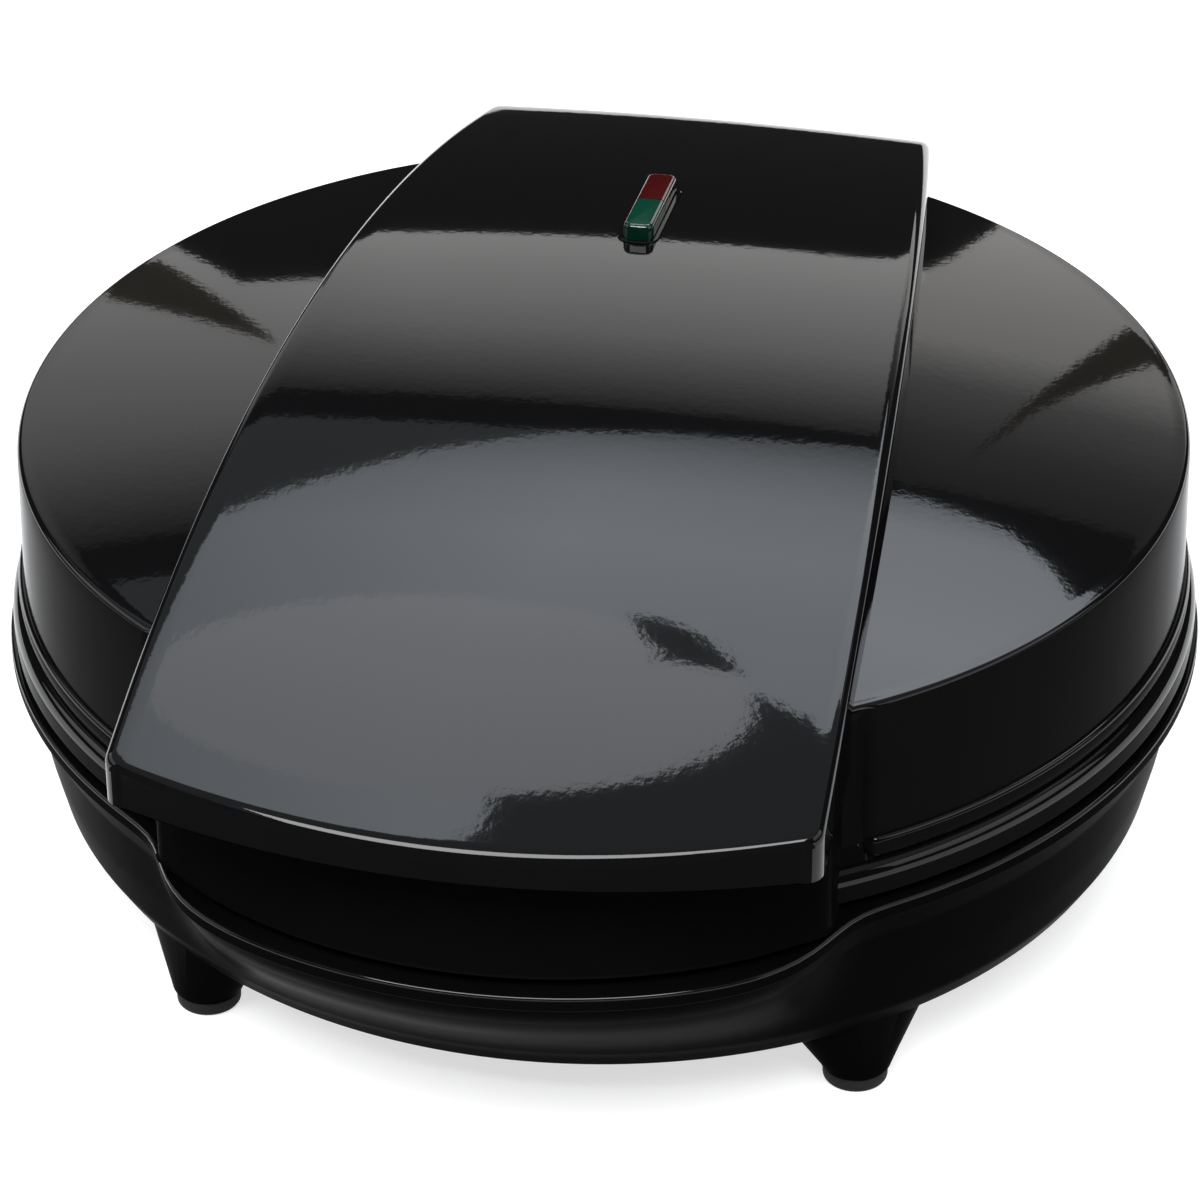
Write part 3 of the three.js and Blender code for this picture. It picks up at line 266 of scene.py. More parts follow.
def housing_place(radius, height, angle):
    """Move the wall out for the lip; the floor and the ledge for the plate stay round."""
    if radius < 100 or (radius < plate_opening + 0.6 and height > 50):
        return radius, height
    return radius + lip_swell(angle) * smooth_step(height, 20.5, 51.5), height


housing = turned("housing", housing_section, full_turn(240), housing_place)


def leg(side_x, side_y):
    """A leg that runs straight from the round foot to a long top within the housing's wall."""
    outward = Vector((side_x * math.cos(foot_turn), side_y * math.sin(foot_turn)))
    along = Vector((-outward.y, outward.x))
    rings = []
    for height, middle, deep, wide in ((3.5, foot_circle, 6.5, 6.5), (3.6, foot_circle, 6.9, 6.9),
                                       (3.9, foot_circle, 7.25, 7.25), (4.4, foot_circle, 7.4, 7.4),
                                       (20.0, 103.8, 10.0, 17.5), (23.4, 104.3, 11.6, 20.5)):
        ring = [outward * (middle + deep * math.cos(t)) + along * wide * math.sin(t)
                for t in full_turn(64)]
        rings.append([(spot.x, spot.y, height) for spot in ring])
    return lofted("leg", rings)


def hinge_arc(radius, start, end):
    """Points about the hinge's axis, from one angle in degrees to another."""
    turns = [math.radians(start + (end - start) * step / 24) for step in range(25)]
    return [(hinge_y + radius * math.cos(t), hinge_z + radius * math.sin(t)) for t in turns]


def lug(left, right):
    """An ear at the rear of the wall, round about the hinge's axis."""
    outline = [(117.8, 38.5), (125.0, 38.5), *hinge_arc(7.5, -50, 150), (117.8, 52.5)]
    return along_x("lug", outline, left, right)


def hinge_rod(name, radius, left, right, **how):
    """A rod along the hinge's axis."""
    return rod(name, radius, (left, hinge_y, hinge_z), (right, hinge_y, hinge_z), **how)


def rods_at(places, name, radius, low, high, steps=48):
    """Upright rods of one size at several places."""
    return [rod(name, radius, (x, y, low), (x, y, high), steps) for x, y in places]


plate_screw_places = on_circle(plate_screw_circle, [math.radians(a) for a in (90, 210, 330)])
housing_posts = rods_at(plate_screw_places, "post", 5.6, post_bottom_z, post_top_z)
worked(housing, "UNION", [leg(x, y) for x in (1, -1) for y in (1, -1)] + housing_posts + [
    lug(lug_inner, lug_outer), lug(-lug_outer, -lug_inner),
    rod("inlet_boss", 10.5, (0, 113.8, inlet_z), (0, 122, inlet_z), edge=0.8),
])
post_bores = rods_at(plate_screw_places, "bore", 4.2, underside_z - 1, post_top_z - 7)
worked(housing, "DIFFERENCE", post_bores + [
    rod("inlet_bore", 6.2, (0, 109, inlet_z), (0, 124, inlet_z)),
    hinge_rod("knuckle_pocket", 8.0, -lug_inner, lug_inner, steps=64),
    hinge_rod("pin_bore", pin_bore, -51, 51),
])


def plain_finish(name, values):
    """A material whose surface has these values all over."""
    material = bpy.data.materials.new(name)
    material.use_nodes = True
    for socket, value in values.items():
        material.node_tree.nodes["Principled BSDF"].inputs[socket].default_value = value
    return material


def grain_in(material, scale, detail=2.0, stretch=None):
    """A grain through the whole piece, which a stretch draws out into lines."""
    tree = material.node_tree
    place = tree.nodes.new("ShaderNodeTexCoord").outputs["Object"]
    if stretch:
        drawn = tree.nodes.new("ShaderNodeMapping")
        drawn.inputs["Scale"].default_value = stretch
        tree.links.new(place, drawn.inputs["Vector"])
        place = drawn.outputs["Vector"]
    noise = tree.nodes.new("ShaderNodeTexNoise")
    noise.inputs["Scale"].default_value = scale
    noise.inputs["Detail"].default_value = detail
    tree.links.new(place, noise.inputs["Vector"])
    return noise.outputs["Fac"]


def emboss(material, grain, strength, depth):
    """Let the grain stand up in the surface."""
    tree = material.node_tree
    relief = tree.nodes.new("ShaderNodeBump")
    relief.inputs["Strength"].default_value = strength
    relief.inputs["Distance"].default_value = depth
    tree.links.new(grain, relief.inputs["Height"])
    tree.links.new(relief.outputs["Normal"], tree.nodes["Principled BSDF"].inputs["Normal"])


def vary_gloss(material, grain, low, high):
    """Let the roughness follow the grain."""
    tree = material.node_tree
    gloss = tree.nodes.new("ShaderNodeMapRange")
    gloss.inputs["To Min"].default_value = low
    gloss.inputs["To Max"].default_value = high
    tree.links.new(grain, gloss.inputs["Value"])
    tree.links.new(gloss.outputs["Result"], tree.nodes["Principled BSDF"].inputs["Roughness"])


def vary_colour(material, grain, colour, dark):
    """Let the colour follow the grain, down to a darker share of itself."""
    tree = material.node_tree
    tint = tree.nodes.new("ShaderNodeMixRGB")
    tint.inputs["Color1"].default_value = (*colour, 1)
    tint.inputs["Color2"].default_value = (*[c * dark for c in colour], 1)
    tree.links.new(grain, tint.inputs["Fac"])
    tree.links.new(tint.outputs["Color"], tree.nodes["Principled BSDF"].inputs["Base Color"])


def plastic(name, colour, roughness, shine, grain, depth, cloud):
    """Moulded plastic: a fine skin texture in its surface, and a gloss that varies a little."""
    material = plain_finish(name, {"IOR": 1.5, "Specular IOR Level": shine})
    emboss(material, grain_in(material, 1 / grain), 1.0, depth)
    drift = grain_in(material, 45.0, 4.0)
    vary_gloss(material, drift, roughness * (1 - cloud), roughness * (1 + cloud))
    vary_colour(material, drift, colour, 0.75)
    return material


def dressed(piece, material, slot_name, body, *nodes):
    """Give a piece its finish, put it on its body, and let it stand for its solids."""
    piece.data.materials.clear()
    piece.data.materials.append(material)
    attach(piece, body)
    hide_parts(*nodes)


def finish_faces(piece, material, chosen):
    """Give the faces that chosen(centre, normal) picks another finish than the rest of the piece."""
    piece.data.materials.append(material)
    for face in piece.data.polygons:
        if chosen(face.center / MM, face.normal):
            face.material_index = len(piece.data.materials) - 1


satin_black = plastic("satin_black_plastic", (0.0024, 0.0024, 0.0026), 0.3, 0.0012, 0.0006, 0.000004, 0.2)
gloss_black = plastic("gloss_black_plastic", (0.0022, 0.0022, 0.0024), 0.04, 0.25, 0.0019, 0.000007, 0.3)
dressed(housing, satin_black, "satin_black", "base", "base_housing")
finish_faces(housing, gloss_black,      # the rim's upper face and edge are polished
             lambda spot, normal: abs(spot.z - seam_z + 0.4) < 0.5 and normal.z > 0.1)

# Foot pads. Soft black rubber discs pressed into the tips of the legs, with a turned groove
# underneath so that they grip the table.
rubber = plastic("foot_rubber", (0.010, 0.010, 0.010), 0.7, 0.2, 0.0004, 0.00002, 0.15)
pad_section = eased([(0, 0.6, 0), (2.6, 0.6, 0.2), (2.6, 0, 0.2), (6.6, 0, 0.9), (6.6, 3.2, 0.3),
                     (0, 3.2, 0)], 4)
for number, (side_x, side_y) in enumerate(((1, -1), (-1, -1), (1, 1), (-1, 1)), 1):
    centre = (side_x * foot_circle * math.cos(foot_turn), side_y * foot_circle * math.sin(foot_turn))
    pad = turned(f"foot_pad_{number}_rubber", pad_section, full_turn(40), centre=centre)
    dressed(pad, rubber, "rubber", "base", f"foot_pad_{number}")

# Bottom cover. A flat black moulding, duller than the housing, with ten vent slots through it. It
# closes the housing from below, and four screws hold it.
cover_radius = 83.5
cover_top_z = 20.0
vent_inner, vent_outer = 36, 60      # middles of the round ends of a slot
vent_half = 2
screw_hole = 1.9
cover = turned("bottom_cover_plate", eased([(0, underside_z, 0), (cover_radius, underside_z, 0.5),
                                            (cover_radius, cover_top_z, 0.3), (0, cover_top_z, 0)], 4),
               full_turn(120))
cover_screw_places = on_circle(80.4, [math.radians(45 + 90 * k) for k in range(4)])


def vent(number):
    turn = 2 * math.pi * (number + 0.5) / 10
    out, side = Vector((math.cos(turn), math.sin(turn))), Vector((-math.sin(turn), math.cos(turn)))
    outline = []
    for middle, first in ((vent_outer, -math.pi / 2), (vent_inner, math.pi / 2)):
        for step in range(13):
            bend = first + math.pi * step / 12
            outline.append(out * (middle + vent_half * math.cos(bend)) + side * vent_half * math.sin(bend))
    return lofted("vent", [[(p.x, p.y, z) for p in outline] for z in (underside_z - 1, cover_top_z + 1)])


worked(cover, "DIFFERENCE", [vent(k) for k in range(10)]
       + rods_at(cover_screw_places, "hole", screw_hole, underside_z - 1, cover_top_z + 1, 24))
cover_black = plastic("cover_black_plastic", (0.012, 0.012, 0.012), 0.5, 0.15, 0.0008, 0.00001, 0.2)
dressed(cover, cover_black, "satin_black", "base", "bottom_cover")

# Screws. Zinc-plated steel with pan heads and a cross recess, cold headed and rolled. The ones made
# here can be seen: four hold the bottom cover and three the upper plate.


def steel(name, colour, roughness, stretch, cloud=0.2):
    """Bare or plated steel, with the fine lines of turning or rolling in it."""
    material = plain_finish(name, {"Metallic": 1.0})
    lines = grain_in(material, 400.0, 3.0, stretch)
    vary_gloss(material, lines, roughness * (1 - cloud), roughness * (1 + cloud))
    vary_colour(material, lines, colour, 0.8)
    emboss(material, lines, 0.3, 0.00002)
    return material


zinc = steel("zinc_plated_steel", (0.60, 0.61, 0.62), 0.28, (1, 1, 6))


def pan_screws(name, places, height, length, body):
    """Pan-head screws with their heads down; the heads' upper faces are at the height."""
    section = eased([(0, -1.8, 0), (3.5, -1.8, 1.1), (3.5, 0, 0.15), (1.6, 0, 0), (1.6, length, 0.4),
                     (0, length, 0)], 5)
    section = [(r, height + h) for r, h in section]
    for number, (x, y) in enumerate(places, 1):
        screw = turned(f"{name}_{number}_zinc", section, full_turn(40), centre=(x, y))
        arms = []
        for wide, deep in ((1.9, 0.42), (0.42, 1.9)):
            outline = [(x - wide, y - deep), (x + wide, y - deep),
                       (x + wide, y + deep), (x - wide, y + deep)]
            arms.append(lofted("arm", [[(a, b, z) for a, b in outline]
                                       for z in (height - 2.5, height - 0.7)]))
        worked(screw, "DIFFERENCE", arms)
        dressed(screw, zinc, "screw_steel", body, f"{name}_{number}")


pan_screws("cover_screw", cover_screw_places, 17.7, 7, "base")

# Cord inlet. A moulded rubber ring pressed into the boss at the rear, with a flange outside it. The
# mains cord is drawn in through it.
inlet_face_y = 122.3
ring_section = eased([(3.4, -9, 0.2), (5.9, -9, 0.4), (5.9, 0, 0), (8.6, 0, 0.3), (8.6, 1.6, 0.8),
                      (6.4, 3, 0.8), (3.4, 3, 0.8)], 5)
inlet_ring = turned("cord_inlet_ring", ring_section, full_turn(56))
off_axis = Matrix.Translation((0, -body_axis_y * MM, 0))
laid_back = Matrix.Rotation(-math.pi / 2, 4, "X")
to_wall = Matrix.Translation((0, (inlet_face_y + body_axis_y) * MM, inlet_z * MM))
inlet_ring.data.transform(to_wall @ laid_back @ off_axis)
dressed(inlet_ring, rubber, "rubber", "base", "cord_inlet")

# Baking plates. Two aluminium castings with seven cups each, coated dark so that nothing sticks. The
# lower plate has the deep cups, the upper one the shallow cups, and both are screwed from behind.
plate_radius = 118
plate_thick = 3
cup_circle = 70
cup_mouth = 29.0                     # radius of a cup's mouth
cup_taper = 0.32                     # how much its radius shrinks per millimetre of depth
cup_metal = 2.3                      # thickness of a cup's wall
lower_face_z, lower_depth = 57.45, 19.5
upper_face_z, upper_depth = 58.05, 12

# the coat is sprayed: dark, with fine paler speckles
coating = plain_finish("non_stick_coat", {"IOR": 1.55})
speckle = grain_in(coating, 2600.0, 3.0)
dots = coating.node_tree.nodes.new("ShaderNodeValToRGB")
for stop, position, colour in zip(dots.color_ramp.elements, (0.56, 0.72),
                                  ((0.017, 0.017, 0.018, 1), (0.055, 0.055, 0.057, 1))):
    stop.position, stop.color = position, colour
coating.node_tree.links.new(speckle, dots.inputs["Fac"])
coating.node_tree.links.new(dots.outputs["Color"],
                            coating.node_tree.nodes["Principled BSDF"].inputs["Base Color"])
vary_gloss(coating, grain_in(coating, 60.0), 0.30, 0.44)
emboss(coating, speckle, 0.6, 0.00003)


def cup_body(x, y, depth, grow, face, up):
    """A cup's space, or with grow its metal's outside, below or above the plate's face."""
    mouth, floor = cup_mouth + grow, depth + grow
    foot = mouth - cup_taper * depth
    if grow == 0:
        section = eased([(0, 1, 0), (mouth + 2.6, 1, 0), (mouth + 1.5, 0, 0.4), (mouth - 0.35, 1.6, 3.2),
                         (foot, floor, 5), (0, floor, 0)], 6)
        section[:2] = [(0, -1), (mouth + 2.2, -1)]      # the cut starts clear of the face
    else:
        section = eased([(0, 1.5, 0), (mouth, 1.5, 0), (foot, floor, 5), (0, floor, 0)], 6)
    section = [(r, face - up * h) for r, h in section]
    return turned("cup", section, full_turn(64), centre=(x, y))


def baking_plate(name, face, up, depth):
    """A plate with its cups and the post for its heat shield, on the side away from up."""
    back = face - up * plate_thick
    section = eased([(0, face, 0), (plate_radius, face, 0.8), (plate_radius, back, 0.8), (0, back, 0)], 4)
    plate = turned(name, section, full_turn(180))
    under = face - up * (depth + cup_metal)
    post = rod("boss", 5, (0, 0, under + up), (0, 0, under - up * 6))
    cup_places = [(0, 0)] + on_circle(cup_circle, full_turn(6))
    worked(plate, "UNION", [cup_body(x, y, depth, cup_metal, face, up) for x, y in cup_places] + [post])
    worked(plate, "DIFFERENCE", [cup_body(x, y, depth, 0, face, up) for x, y in cup_places])
    return plate


lower_plate = baking_plate("lower_plate_casting", lower_face_z, 1, lower_depth)
worked(lower_plate, "UNION", rods_at(plate_screw_places, "boss", 6, 55.95, 51.65))
dressed(lower_plate, coating, "non_stick", "base", "lower_baking_plate")

upper_plate = baking_plate("upper_plate_casting", upper_face_z, -1, upper_depth)
upper_screw_places = [(-x, y) for x, y in plate_screw_places]
worked(upper_plate, "DIFFERENCE",
       rods_at(upper_screw_places, "sink", 3.9, 57.0, 60.15)
       + rods_at(upper_screw_places, "hole", screw_hole, 57.0, 62.5))
dressed(upper_plate, coating, "non_stick", "lid", "upper_baking_plate")
pan_screws("upper_plate_screw", plate_screw_places, 59.85, 10, "lid")

# Hinge pins. Two turned steel pins with flat heads, zinc plated. They are pushed through the lugs
# into the lid's knuckle, one from each side.
for side, word in ((1, "right"), (-1, "left")):
    pin = hinge_rod(f"hinge_pin_{word}_steel", 2.4, side * 14.8, side * 42.4)
    head = hinge_rod("head", 4.2, side * 41.6, side * 43.2, edge=0.5)
    dressed(worked(pin, "UNION", [head]), zinc, "screw_steel", "base", f"hinge_pin_{word}")

# Lid shell. A glossy black moulding: a shallow dome, a rounded edge, a nearly upright wall with a
# half-round bead at its foot, and a thin flange over the seam. Its knuckle turns between the lugs.
lid_edge_z = 100.5
lid_edge_round = 1.4
lid_radius = 120.9
dome_rise = 10.0
wall_foot = 121.4                    # radius of the wall at its foot, where the bead stands on it
bead_z, bead_half, bead_out = 68.4, 2.3, 1.2
flange_z = 59.0
flange_top_z = 65.5
flange_radius = 124.1
flange_round, flange_drop = 2.4, 3.4     # width and height of the flange's rounded upper edge
hollow_radius = 118.5
notch_half = math.radians(35.6)      # the lid's wall ends beside the grip, this far from the front
notch_depth = 1.9
knuckle_half = 30.8
knuckle_radius = 7


def dome_z(radius):
    return lid_edge_z + dome_rise * (1 - (radius / lid_radius) ** 2)


def lid_outline(grow=0.0):
    """The lid's outside from the crown to the flange's lower edge, as (radius, height)."""
    crown = [(r, dome_z(r)) for r in (0, 20, 40, 55, 70, 80, 90, 98, 105, 110, 114, 117, 119)]
    edge = eased([(108, dome_z(108), 0), (lid_radius - 0.1, dome_z(lid_radius) + 0.1, lid_edge_round),
                  (lid_radius + 0.45, 74, 0), (108, 74, 0)], 9)
    edge = [(r, z) for r, z in edge if r > 119.1 and z > 74.5]
    wall = [(lid_radius + 0.05 + 0.4 * k / 8, 96 - 3 * k) for k in range(8)]
    bead, bead_power = [], 2.6           # a little fuller than a circle
    for k in range(17):
        turn = math.pi * k / 16
        full = (abs(math.cos(turn)) ** bead_power + math.sin(turn) ** bead_power) ** (-1 / bead_power)
        bead.append((wall_foot + bead_out * full * math.sin(turn),
                     bead_z + bead_half * full * math.cos(turn)))
    flange = [(wall_foot, flange_top_z)]
    for k in range(11):
        turn = math.pi / 2 * k / 10
        flange.append((flange_radius - flange_round + flange_round * math.sin(turn),
                       flange_top_z - flange_drop + flange_drop * math.cos(turn)))
    flange.append((flange_radius, flange_z))
    outline = crown + edge + wall + bead + flange
    return [(r + (grow if r > 0 else 0), z + grow) for r, z in outline]


lid_hollow = [
    (0, dome_z(0) - 2.4), (60, dome_z(60) - 2.4), (100, dome_z(100) - 2.4), (114.5, dome_z(114.5) - 2.6),
    (117.6, 97.5), (118.4, 92), (hollow_radius, 65.4), (hollow_radius, 65.3), (115.5, 63.75),
    (115.5, 61.35), (hollow_radius, 61.35), (hollow_radius, flange_z + 0.3), (118.8, flange_z),
]


def turn_between(a, b):
    """The angle between two directions, half a turn at most."""
    return abs((a - b + math.pi) % (2 * math.pi) - math.pi)


def lid_angles():
    """Even steps round the lid, closer together where its wall ends beside the grip."""
    ends = [-math.pi / 2 - notch_half, -math.pi / 2 + notch_half]
    near = [end + math.radians(step * 0.12) for end in ends for step in range(-20, 21)]
    even = [a for a in full_turn(240) if min(turn_between(a, end) for end in ends) > math.radians(2.6)]
    return sorted(a % (2 * math.pi) for a in even + near)


def lid_place(radius, height, angle):
    """Draw the wall in behind the grip, with a rounded corner on either side, and end the bead there."""
    past = math.degrees(notch_half - turn_between(angle, -math.pi / 2))
    inside = smooth_step(past, -0.9, 0.7)
    wall_share = smooth_step(radius, 117.5, 120.4) * (1 - smooth_step(height, 98.0, 101.0))
    if height < flange_top_z + 0.01:
        wall_share = 0
    if radius > wall_foot - 0.01 and abs(height - bead_z) < bead_half + 0.3:
        left = math.sqrt(1 - min(max((past + 1.0) / 1.1, 0.0), 1.0) ** 2)
        radius = wall_foot + (radius - wall_foot) * left
        height = bead_z + (height - bead_z) * left
    return radius - notch_depth * inside * wall_share, height


lid = turned("lid", lid_outline() + lid_hollow[::-1], lid_angles(), lid_place)
knuckle_outline = [(116.1, 61.95), (116.1, 81.75), (125.7, 81.75), (134.5, 73.75),
                   *hinge_arc(knuckle_radius, 0, -180), (124.0, 61.95)]
worked(lid, "UNION", [along_x("knuckle", knuckle_outline, -knuckle_half, knuckle_half)])
worked(lid, "DIFFERENCE", [hinge_rod("pin_bore", pin_bore, -32, 32)])
# Painted shade: a copy of the gloss black with its reflection turned nearly off, for the lid's upright
# faces and the lip's front face, so that they stay dark where they would mirror the white floor.
painted_shade_black = plastic("painted_shade_black_plastic", (0.0038, 0.0038, 0.0040), 0.1, 0.005, 0.0019, 0.000006, 0.3)
dressed(lid, gloss_black, "gloss_black", "lid", "lid_shell")


def on_wall(spot, normal):
    """The lid's upright faces, but for the two ridges of the bead and the flange's rounded edge."""
    if spot.z < flange_top_z:
        return normal.z < 0.12
    on_bead = math.hypot(spot.x, spot.y - body_axis_y) > wall_foot + 0.1 and spot.z < 71
    ridge = on_bead and abs(normal.z) > 0.3
    return spot.z < lid_edge_z - 0.6 and normal.z < 0.5 and not ridge


# Painted shade on the lid's upright faces: they get the dulled copy of the gloss black, but for the bead's
# ridges and the flange's rounded edge.
finish_faces(lid, painted_shade_black, on_wall)

# Handle band. A wide glossy black moulding over the lid, arched from the front lip to the hinge and
# crowned across, with soft edges. It is hollow, sits on the dome, and is screwed from inside the lid.
front_reach = 151.6
lip_sag = 11.8
roll_start = 121.0
roll_length = 18.0
band_halves = (68.1, 62.6, 50.9)     # half widths at the lip's corners, over the axis and at the roll
band_rises = (-3.1, 20.9, 6.3)       # heights there over the lid's edge
band_crown = 1.2
lip_bottom_z = 88.0
skirt_bottom_z = 71.0
band_wall = 2.4
lid_gap = 0.3                        # the band and the grip clear the lid by this


def bend(front, middle, rear, at):
    """The even curve through three values at the lip's corners, over the axis and at the roll."""
    lip_corner = front_reach - lip_sag
    curve = -((middle - rear) / roll_start + (middle - front) / lip_corner) / (lip_corner + roll_start)
    slope = curve * lip_corner + (middle - front) / lip_corner
    return middle + slope * at + curve * at * at


def band_half(y):
    return bend(*band_halves, y)


def band_top(x, y):
    return lid_edge_z + bend(*band_rises, y) + band_crown * (1 - (x / band_half(y)) ** 2)


def lip_front(x):
    return -front_reach + lip_sag * (x / band_halves[0]) ** 2


def edge_fall(depth, radius):
    """How far a rounded edge drops at a distance in from the outline."""
    if depth >= radius:
        return 0.0
    return radius - math.sqrt(max(0.0, radius * radius - (radius - depth) ** 2))


def band_body(name, inset, below, edge, corner):
    """The band's outside, or with an inset the hollow in it: one grid, with walls down to its floor."""
    quarter = math.pi / 2
    nose = corner * 1.6                  # length of the front rows, which are closer together
    rows = [(0.0, nose * (1 - math.cos(quarter * k / 14)), 0.0) for k in range(15)]
    rows += [(k / 100, nose, 0.0) for k in range(1, 101)]
    rows += [(1.0, nose, quarter * k / 18) for k in range(1, 19)]
    sides = [(-1.0, edge * (1 - math.cos(quarter * k / 9))) for k in range(10)]
    columns = sides + [(-1.0 + 2.0 * k / 40, edge) for k in range(1, 40)]
    columns += [(1.0, in_from_side) for _, in_from_side in reversed(sides)]
    reach = roll_length - inset

    def spot(row, column):
        """A place on the grid, with the heights of the top and the floor there."""
        along, back, roll = row
        share, side = column

        def across(half):
            return share * (half - inset - edge) + math.copysign(edge - side, share)

        start = lip_front(across(band_halves[0])) + inset
        y = start + back + (roll_start - start - nose) * along + reach * math.sin(roll)
        half = band_half(y) - inset
        near = max(0.0, corner - back) if along == 0 else 0.0
        narrowed = half - (corner - math.sqrt(max(0.0, corner * corner - near * near)))
        x = across(band_half(y)) * narrowed / half
        drop = 0.0
        if edge > 0:
            if along == 0 and half - abs(x) < corner and back < corner:
                depth = corner - math.hypot(abs(x) - (half - corner), corner - back)
            else:
                depth = min(half - abs(x), back if along == 0 else edge)
            drop = edge_fall(max(0.0, min(depth, edge)), edge)
        fall = drop + reach * (1 - math.cos(roll))
        top = band_top(x, y) - inset - fall
        low = lip_bottom_z + (skirt_bottom_z - lip_bottom_z) * smooth_step(y, 104, 110) - below
        return x, y, top, low

    grid = [spot(row, column) for row in rows for column in columns]
    points = [(x, y, top) for x, y, top, _ in grid] + [(x, y, low) for x, y, _, low in grid]
    faces = []
    wide, under = len(columns), len(grid)
    for j in range(len(rows) - 1):
        for i in range(wide - 1):
            a = j * wide + i
            faces.append((a, a + 1, a + wide + 1, a + wide))
            faces.append((under + a, under + a + wide, under + a + wide + 1, under + a + 1))
    for i in range(wide - 1):
        last = (len(rows) - 1) * wide + i
        faces.append((i, under + i, under + i + 1, i + 1))
        faces.append((last, last + 1, under + last + 1, under + last))
    for j in range(len(rows) - 1):
        a, b = j * wide, j * wide + wide - 1
        faces.append((a, a + wide, under + a + wide, under + a))
        faces.append((b, under + b, under + b + wide, b + wide))
    return shape(name, points, faces)


def lid_space():
    """The room that the lid takes, with the gap round it."""
    section = lid_outline(lid_gap) + [(flange_radius + lid_gap, flange_z - 1), (0, flange_z - 1)]
    return turned("lid_space", section, full_turn(240))


lens_y = 51.6
lens_half_wide, lens_half_long, lens_corner = 3.3, 15.2, 2.1
window_half_wide, window_half_long, window_corner = 4.5, 16.4, 3.3
lens_z = band_top(0, lens_y)
lens_tilt = math.atan(band_top(0, lens_y + 0.5) - band_top(0, lens_y - 0.5))


def lens_frame(x, y, z):
    """From the lens's own place on the band to the body's."""
    c, s = math.cos(lens_tilt), math.sin(lens_tilt)
    return x, lens_y + y * c - z * s, lens_z + y * s + z * c


def rounded_block(name, half_wide, half_long, corner, heights):
    """A block with rounded plan corners through (height, inset) pairs, in the lens's place."""
    rings = []
    for height, inset in heights:
        ring = []
        r = max(corner - inset, 0.05)
        for quarter, (cx, cy) in enumerate(((1, 1), (-1, 1), (-1, -1), (1, -1))):
            for step in range(9):
                turn = math.pi / 2 * (quarter + step / 8)
                ring.append(lens_frame(cx * (half_wide - inset - r) + r * math.cos(turn),
                                       cy * (half_long - inset - r) + r * math.sin(turn), height))
        rings.append(ring)
    return lofted(name, rings)


band = band_body("band", 0.0, 0.0, 2.2, 4.0)
worked(band, "DIFFERENCE", [band_body("hollow", band_wall, 1.0, 0.0, 1.6)])
worked(band, "DIFFERENCE", [lid_space()])
worked(band, "DIFFERENCE", [rounded_block("window", window_half_wide, window_half_long, window_corner,
                                          [(-6, 0), (6, 0)])])
dressed(band, gloss_black, "gloss_black", "lid", "handle_band")
# Painted shade on the lip's front face: it gets the same dulled copy of the gloss black, so that it stays
# dark.
finish_faces(band, painted_shade_black, lambda spot, normal: normal.y < -0.8 and spot.y < -100)

# Front grip. A satin black apron under the lip that the fingers lift, curved like the lip, with a
# deck that closes the lip from below. Two screws hold it from inside the lid's wall.
grip_reach = 140.0
grip_curve = 100.0
grip_half = 66.3
grip_corner = 6.0
grip_wall = 2.4
grip_bottom_z, grip_top_z = 59.0, 87.7
deck_bottom_z, deck_top_z = 87.4, 90.4
deck_half = 59.9
deck_behind_lip = 2.7


def grip_outline(inset):
    """The grip's plan, from the lid's axis to its curved front."""
    radius, half = grip_curve - inset, grip_half - inset
    centre = grip_curve - grip_reach
    front = [(half * k / 30, centre - math.sqrt(radius ** 2 - (half * k / 30) ** 2)) for k in range(31)]
    corner_y = front[30][1]
    return eased([
        (half, 0.0, 0.0), (-half, 0.0, 0.0), (-half, corner_y, grip_corner),
        *[(-x, y, 0.0) for x, y in reversed(front[3:27:3])], (0.0, front[0][1], 0.0),
        *[(x, y, 0.0) for x, y in front[3:27:3]], (half, corner_y, grip_corner),
    ], 8)


def flat_body(name, outline, stops):
    """A flat outline raised through (height, spread) pairs; a spread moves it outwards."""
    rings = []
    for height, spread in stops:
        ring = []
        for k, (x, y) in enumerate(outline):
            ahead = Vector(outline[(k + 1) % len(outline)]) - Vector(outline[k - 1])
            normal = Vector((ahead.y, -ahead.x)).normalized()
            ring.append((x + normal.x * spread, y + normal.y * spread, height))
        rings.append(ring)
    return lofted(name, rings)


grip = flat_body("grip", grip_outline(0), [(grip_bottom_z, 0.5), (59.3, 0.12), (59.9, 0), (grip_top_z, 0)])
worked(grip, "DIFFERENCE", [flat_body("grip_hollow", grip_outline(grip_wall),
                                      [(grip_bottom_z - 1, 0), (85.3, 0)])])
deck_outline = [(deck_half, 0.0), (-deck_half, 0.0)]
deck_outline += [(x, lip_front(x) + deck_behind_lip)
                 for x in (-65.4, -50, -33, -16, 0, 16, 33, 50, 65.4)]
worked(grip, "UNION", [flat_body("deck", deck_outline, [(deck_bottom_z, 0), (deck_top_z, 0)])])
worked(grip, "DIFFERENCE", [lid_space()])
dressed(grip, satin_black, "satin_black", "lid", "front_grip")

# Indicator. A clear moulded block of a red and a green half stands proud of the band, over two small
# lamps in a pale tray. Its edges are rounded, and the band holds it in a close-fitting window.


def clear_plastic(name, colour, roughness=0.06, shine=0.5, clear=0.6):
    """Tinted clear plastic with faint flow lines in it."""
    material = plain_finish(name, {"IOR": 1.49, "Transmission Weight": clear, "Specular IOR Level": shine})
    flow = grain_in(material, 500.0)
    vary_colour(material, flow, colour, 0.55)
    vary_gloss(material, flow, roughness * 0.7, roughness * 1.4)
    emboss(material, flow, 0.5, 0.00002)
    return material


